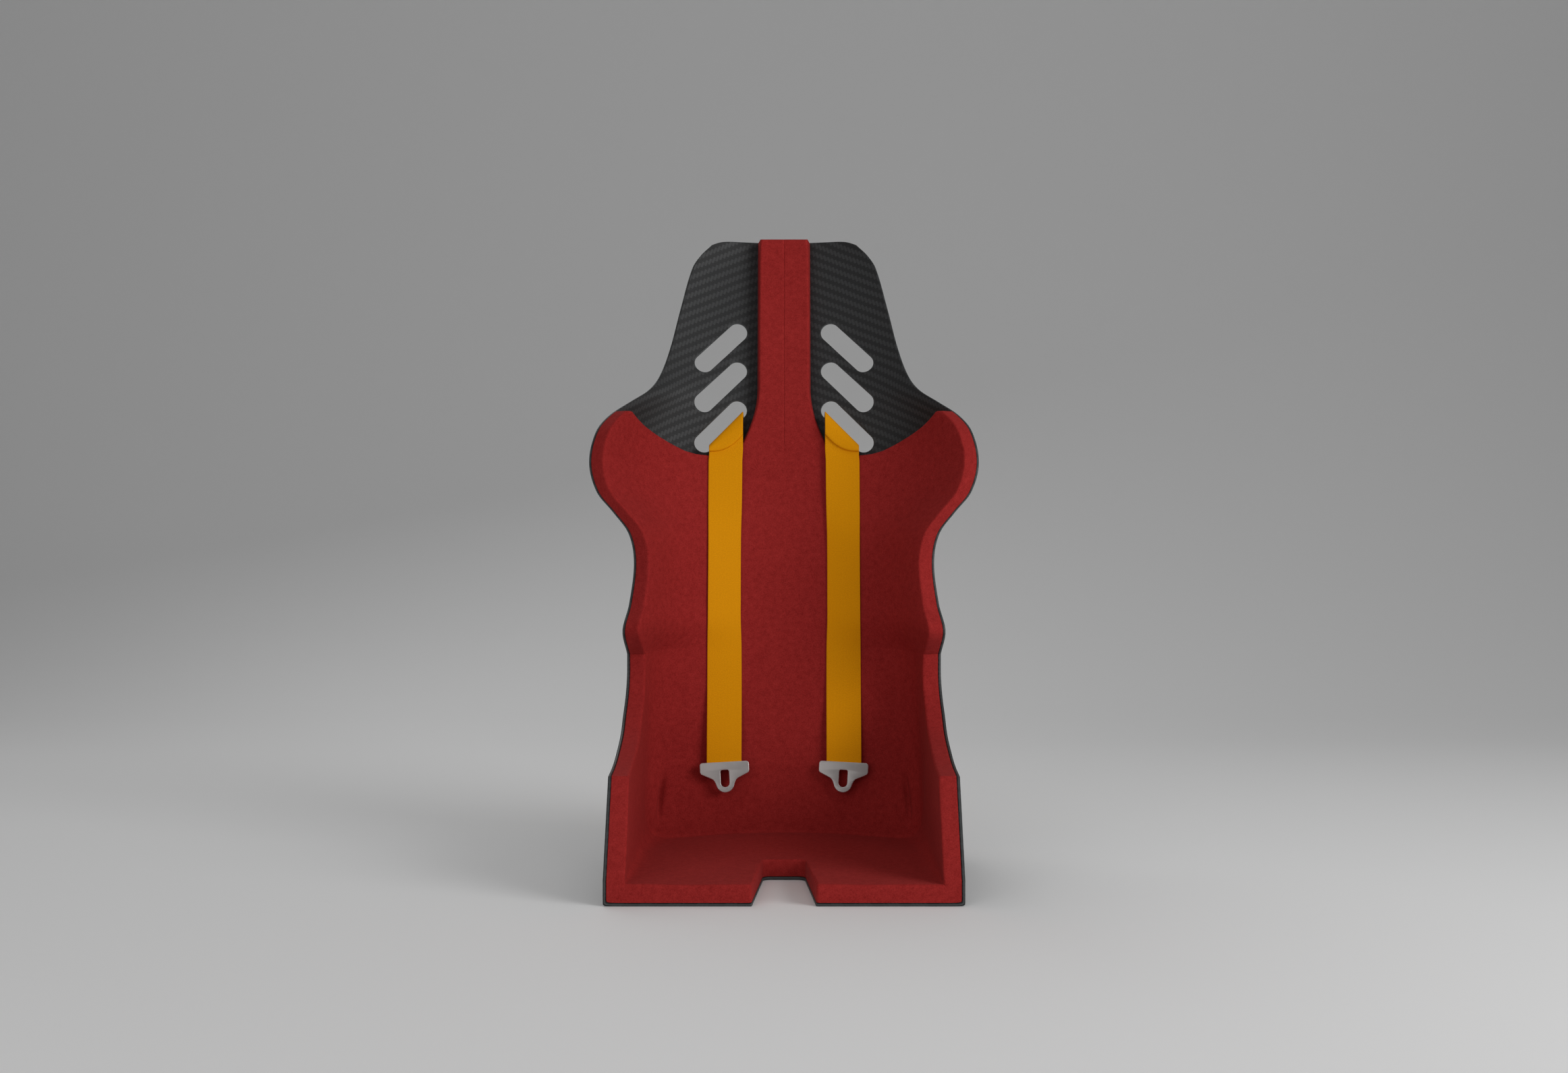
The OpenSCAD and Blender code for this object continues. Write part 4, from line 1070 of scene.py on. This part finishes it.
for side, label in ((-1, "left"), (1, "right")):
    flip = np.array([side, 1, 1])
    axes = foot_axes * flip
    if side < 0:
        axes[0] = -axes[0]
    w, u, n = axes
    base = foot * flip
    # the tongue's rim takes the lighter steel, a painted highlight on the bevel
    parts = [plate("tongue", [outline, window], PLATE_T, 0.95, base + n * (PLATE_BACK + PLATE_T / 2),
                   [w, u, n], steel, rim_highlight_steel)]
    for e in (-1, 1):
        parts.append(plate("ear", [ear, hole], EAR_T, 0.5, base + e * EAR_X * w, [n, u, w], steel))
    own(joined(f"tongue_plate_{label}", *parts), f"tongue_{label}", "steel", f"latch_tongue_{label}")
    long_half = EAR_X + EAR_T / 2
    r = PIN_D / 2
    profile = [(-long_half, 0), (-long_half, r - 0.9), (-long_half + 0.25, r - 0.35), (-long_half + 0.8, r),
               (long_half - 0.8, r), (long_half - 0.25, r - 0.35), (long_half, r - 0.9), (long_half, 0)]
    pin = lathe(f"pin_{label}", profile, base + u * PIN_AT[1] + n * PIN_AT[2], w, dark_steel, 40)
    own(pin, f"tongue_{label}", "steel", f"loop_pin_{label}")

    # ---- Slide and anchor behind the seat
    flat_axes = np.array([[1.0, 0, 0], [0, 0, 1], [0, -1, 0]])
    spot = tail * flip
    wide = (WEB_W + 12) / 2
    loops = [rounded_box(-wide, 0, wide, SLIDE_H, 3)]
    loops += [rounded_box(-WEB_W / 2 - 1, y0, WEB_W / 2 + 1, y0 + SLIDE_SLOT, 1.5)
              for y0 in (SLIDE_BAR, SLIDE_H - SLIDE_BAR - SLIDE_SLOT)]
    slide = plate(f"slide_{label}", loops, SLIDE_T, 0.6, spot + [0, slide_y + SLIDE_T / 2, foot_z],
                  flat_axes, dark_steel)
    own(slide, f"tail_{label}", "steel", f"three_bar_slide_{label}")
    eye = BOLT_D / 2 + 10
    half = (arc((ANCHOR_W / 2 - BAR_HALF, 0), BAR_HALF, 90, 0, 8)
            + arc((ANCHOR_W / 2 - 2.5, -BAR_HALF - 9), 2.5, 0, -50, 5)
            + arc((0, -ANCHOR_DROP), eye, 10, -90, 24))
    loops = [half + flipped(half)[1:],
             rounded_box(-WEB_W / 2 - 1.5, -BAR_HALF - 9, WEB_W / 2 + 1.5, -BAR_HALF, 1.6),
             arc((0, -ANCHOR_DROP), BOLT_D / 2, 0, 360 - 360 / 48, 47)]
    anchor = plate(f"anchor_{label}", loops, ANCHOR_T, 0.7, spot + bar_at, flat_axes, dark_steel)
    own(anchor, f"anchor_{label}", "steel", f"anchor_plate_{label}")

# ---- Floor and light
def backdrop():
    path = [(-4.0, 0.0), (1.6, 0.0)] + [(1.6 + 3.4 * math.sin(f), 3.4 - 3.4 * math.cos(f))
                                        for f in np.linspace(0.1, math.pi / 2, 20)] + [(5.0, 6.0)]
    verts = [(x, y, z) for y, z in path for x in (-7.0, 7.0)]
    faces = [(2 * i, 2 * i + 1, 2 * i + 3, 2 * i + 2) for i in range(len(path) - 1)]
    mesh = bpy.data.meshes.new("floor")
    mesh.from_pydata(verts, [], faces)
    obj = bpy.data.objects.new("floor", mesh)
    bpy.context.scene.collection.objects.link(obj)
    material, tree, shader = new_material("floor_pale")
    shader.inputs["Base Color"].default_value = (0.86, 0.86, 0.86, 1)
    shader.inputs["Roughness"].default_value = 0.9
    mesh.materials.append(material)
    shade(obj, 60)
    return obj


backdrop()


def area_light(name, spot, aim, size, power, colour=(1, 1, 1)):
    data = bpy.data.lights.new(name, "AREA")
    data.energy, data.size, data.color = power, size, colour
    obj = bpy.data.objects.new(name, data)
    obj.location = spot
    obj.rotation_euler = (Vector(aim) - Vector(spot)).to_track_quat("-Z", "Y").to_euler()
    bpy.context.scene.collection.objects.link(obj)


area_light("key", (2.6, -1.9, 1.25), (0, 0, 0.45), 1.8, 54)
area_light("fill", (-1.3, -2.9, 1.0), (0, 0, 0.35), 2.4, 19)
area_light("top", (0.1, -0.6, 2.9), (0, 0, 0.4), 2.0, 6)
area_light("back", (-0.9, 1.7, 2.3), (0, 0, 0.5), 1.8, 14)
world = bpy.data.worlds.new("studio")
world.use_nodes = True
world.node_tree.nodes["Background"].inputs[0].default_value = (1, 1, 1, 1)
world.node_tree.nodes["Background"].inputs[1].default_value = 0.2
bpy.context.scene.world = world
bpy.context.scene.view_settings.view_transform = "Standard"
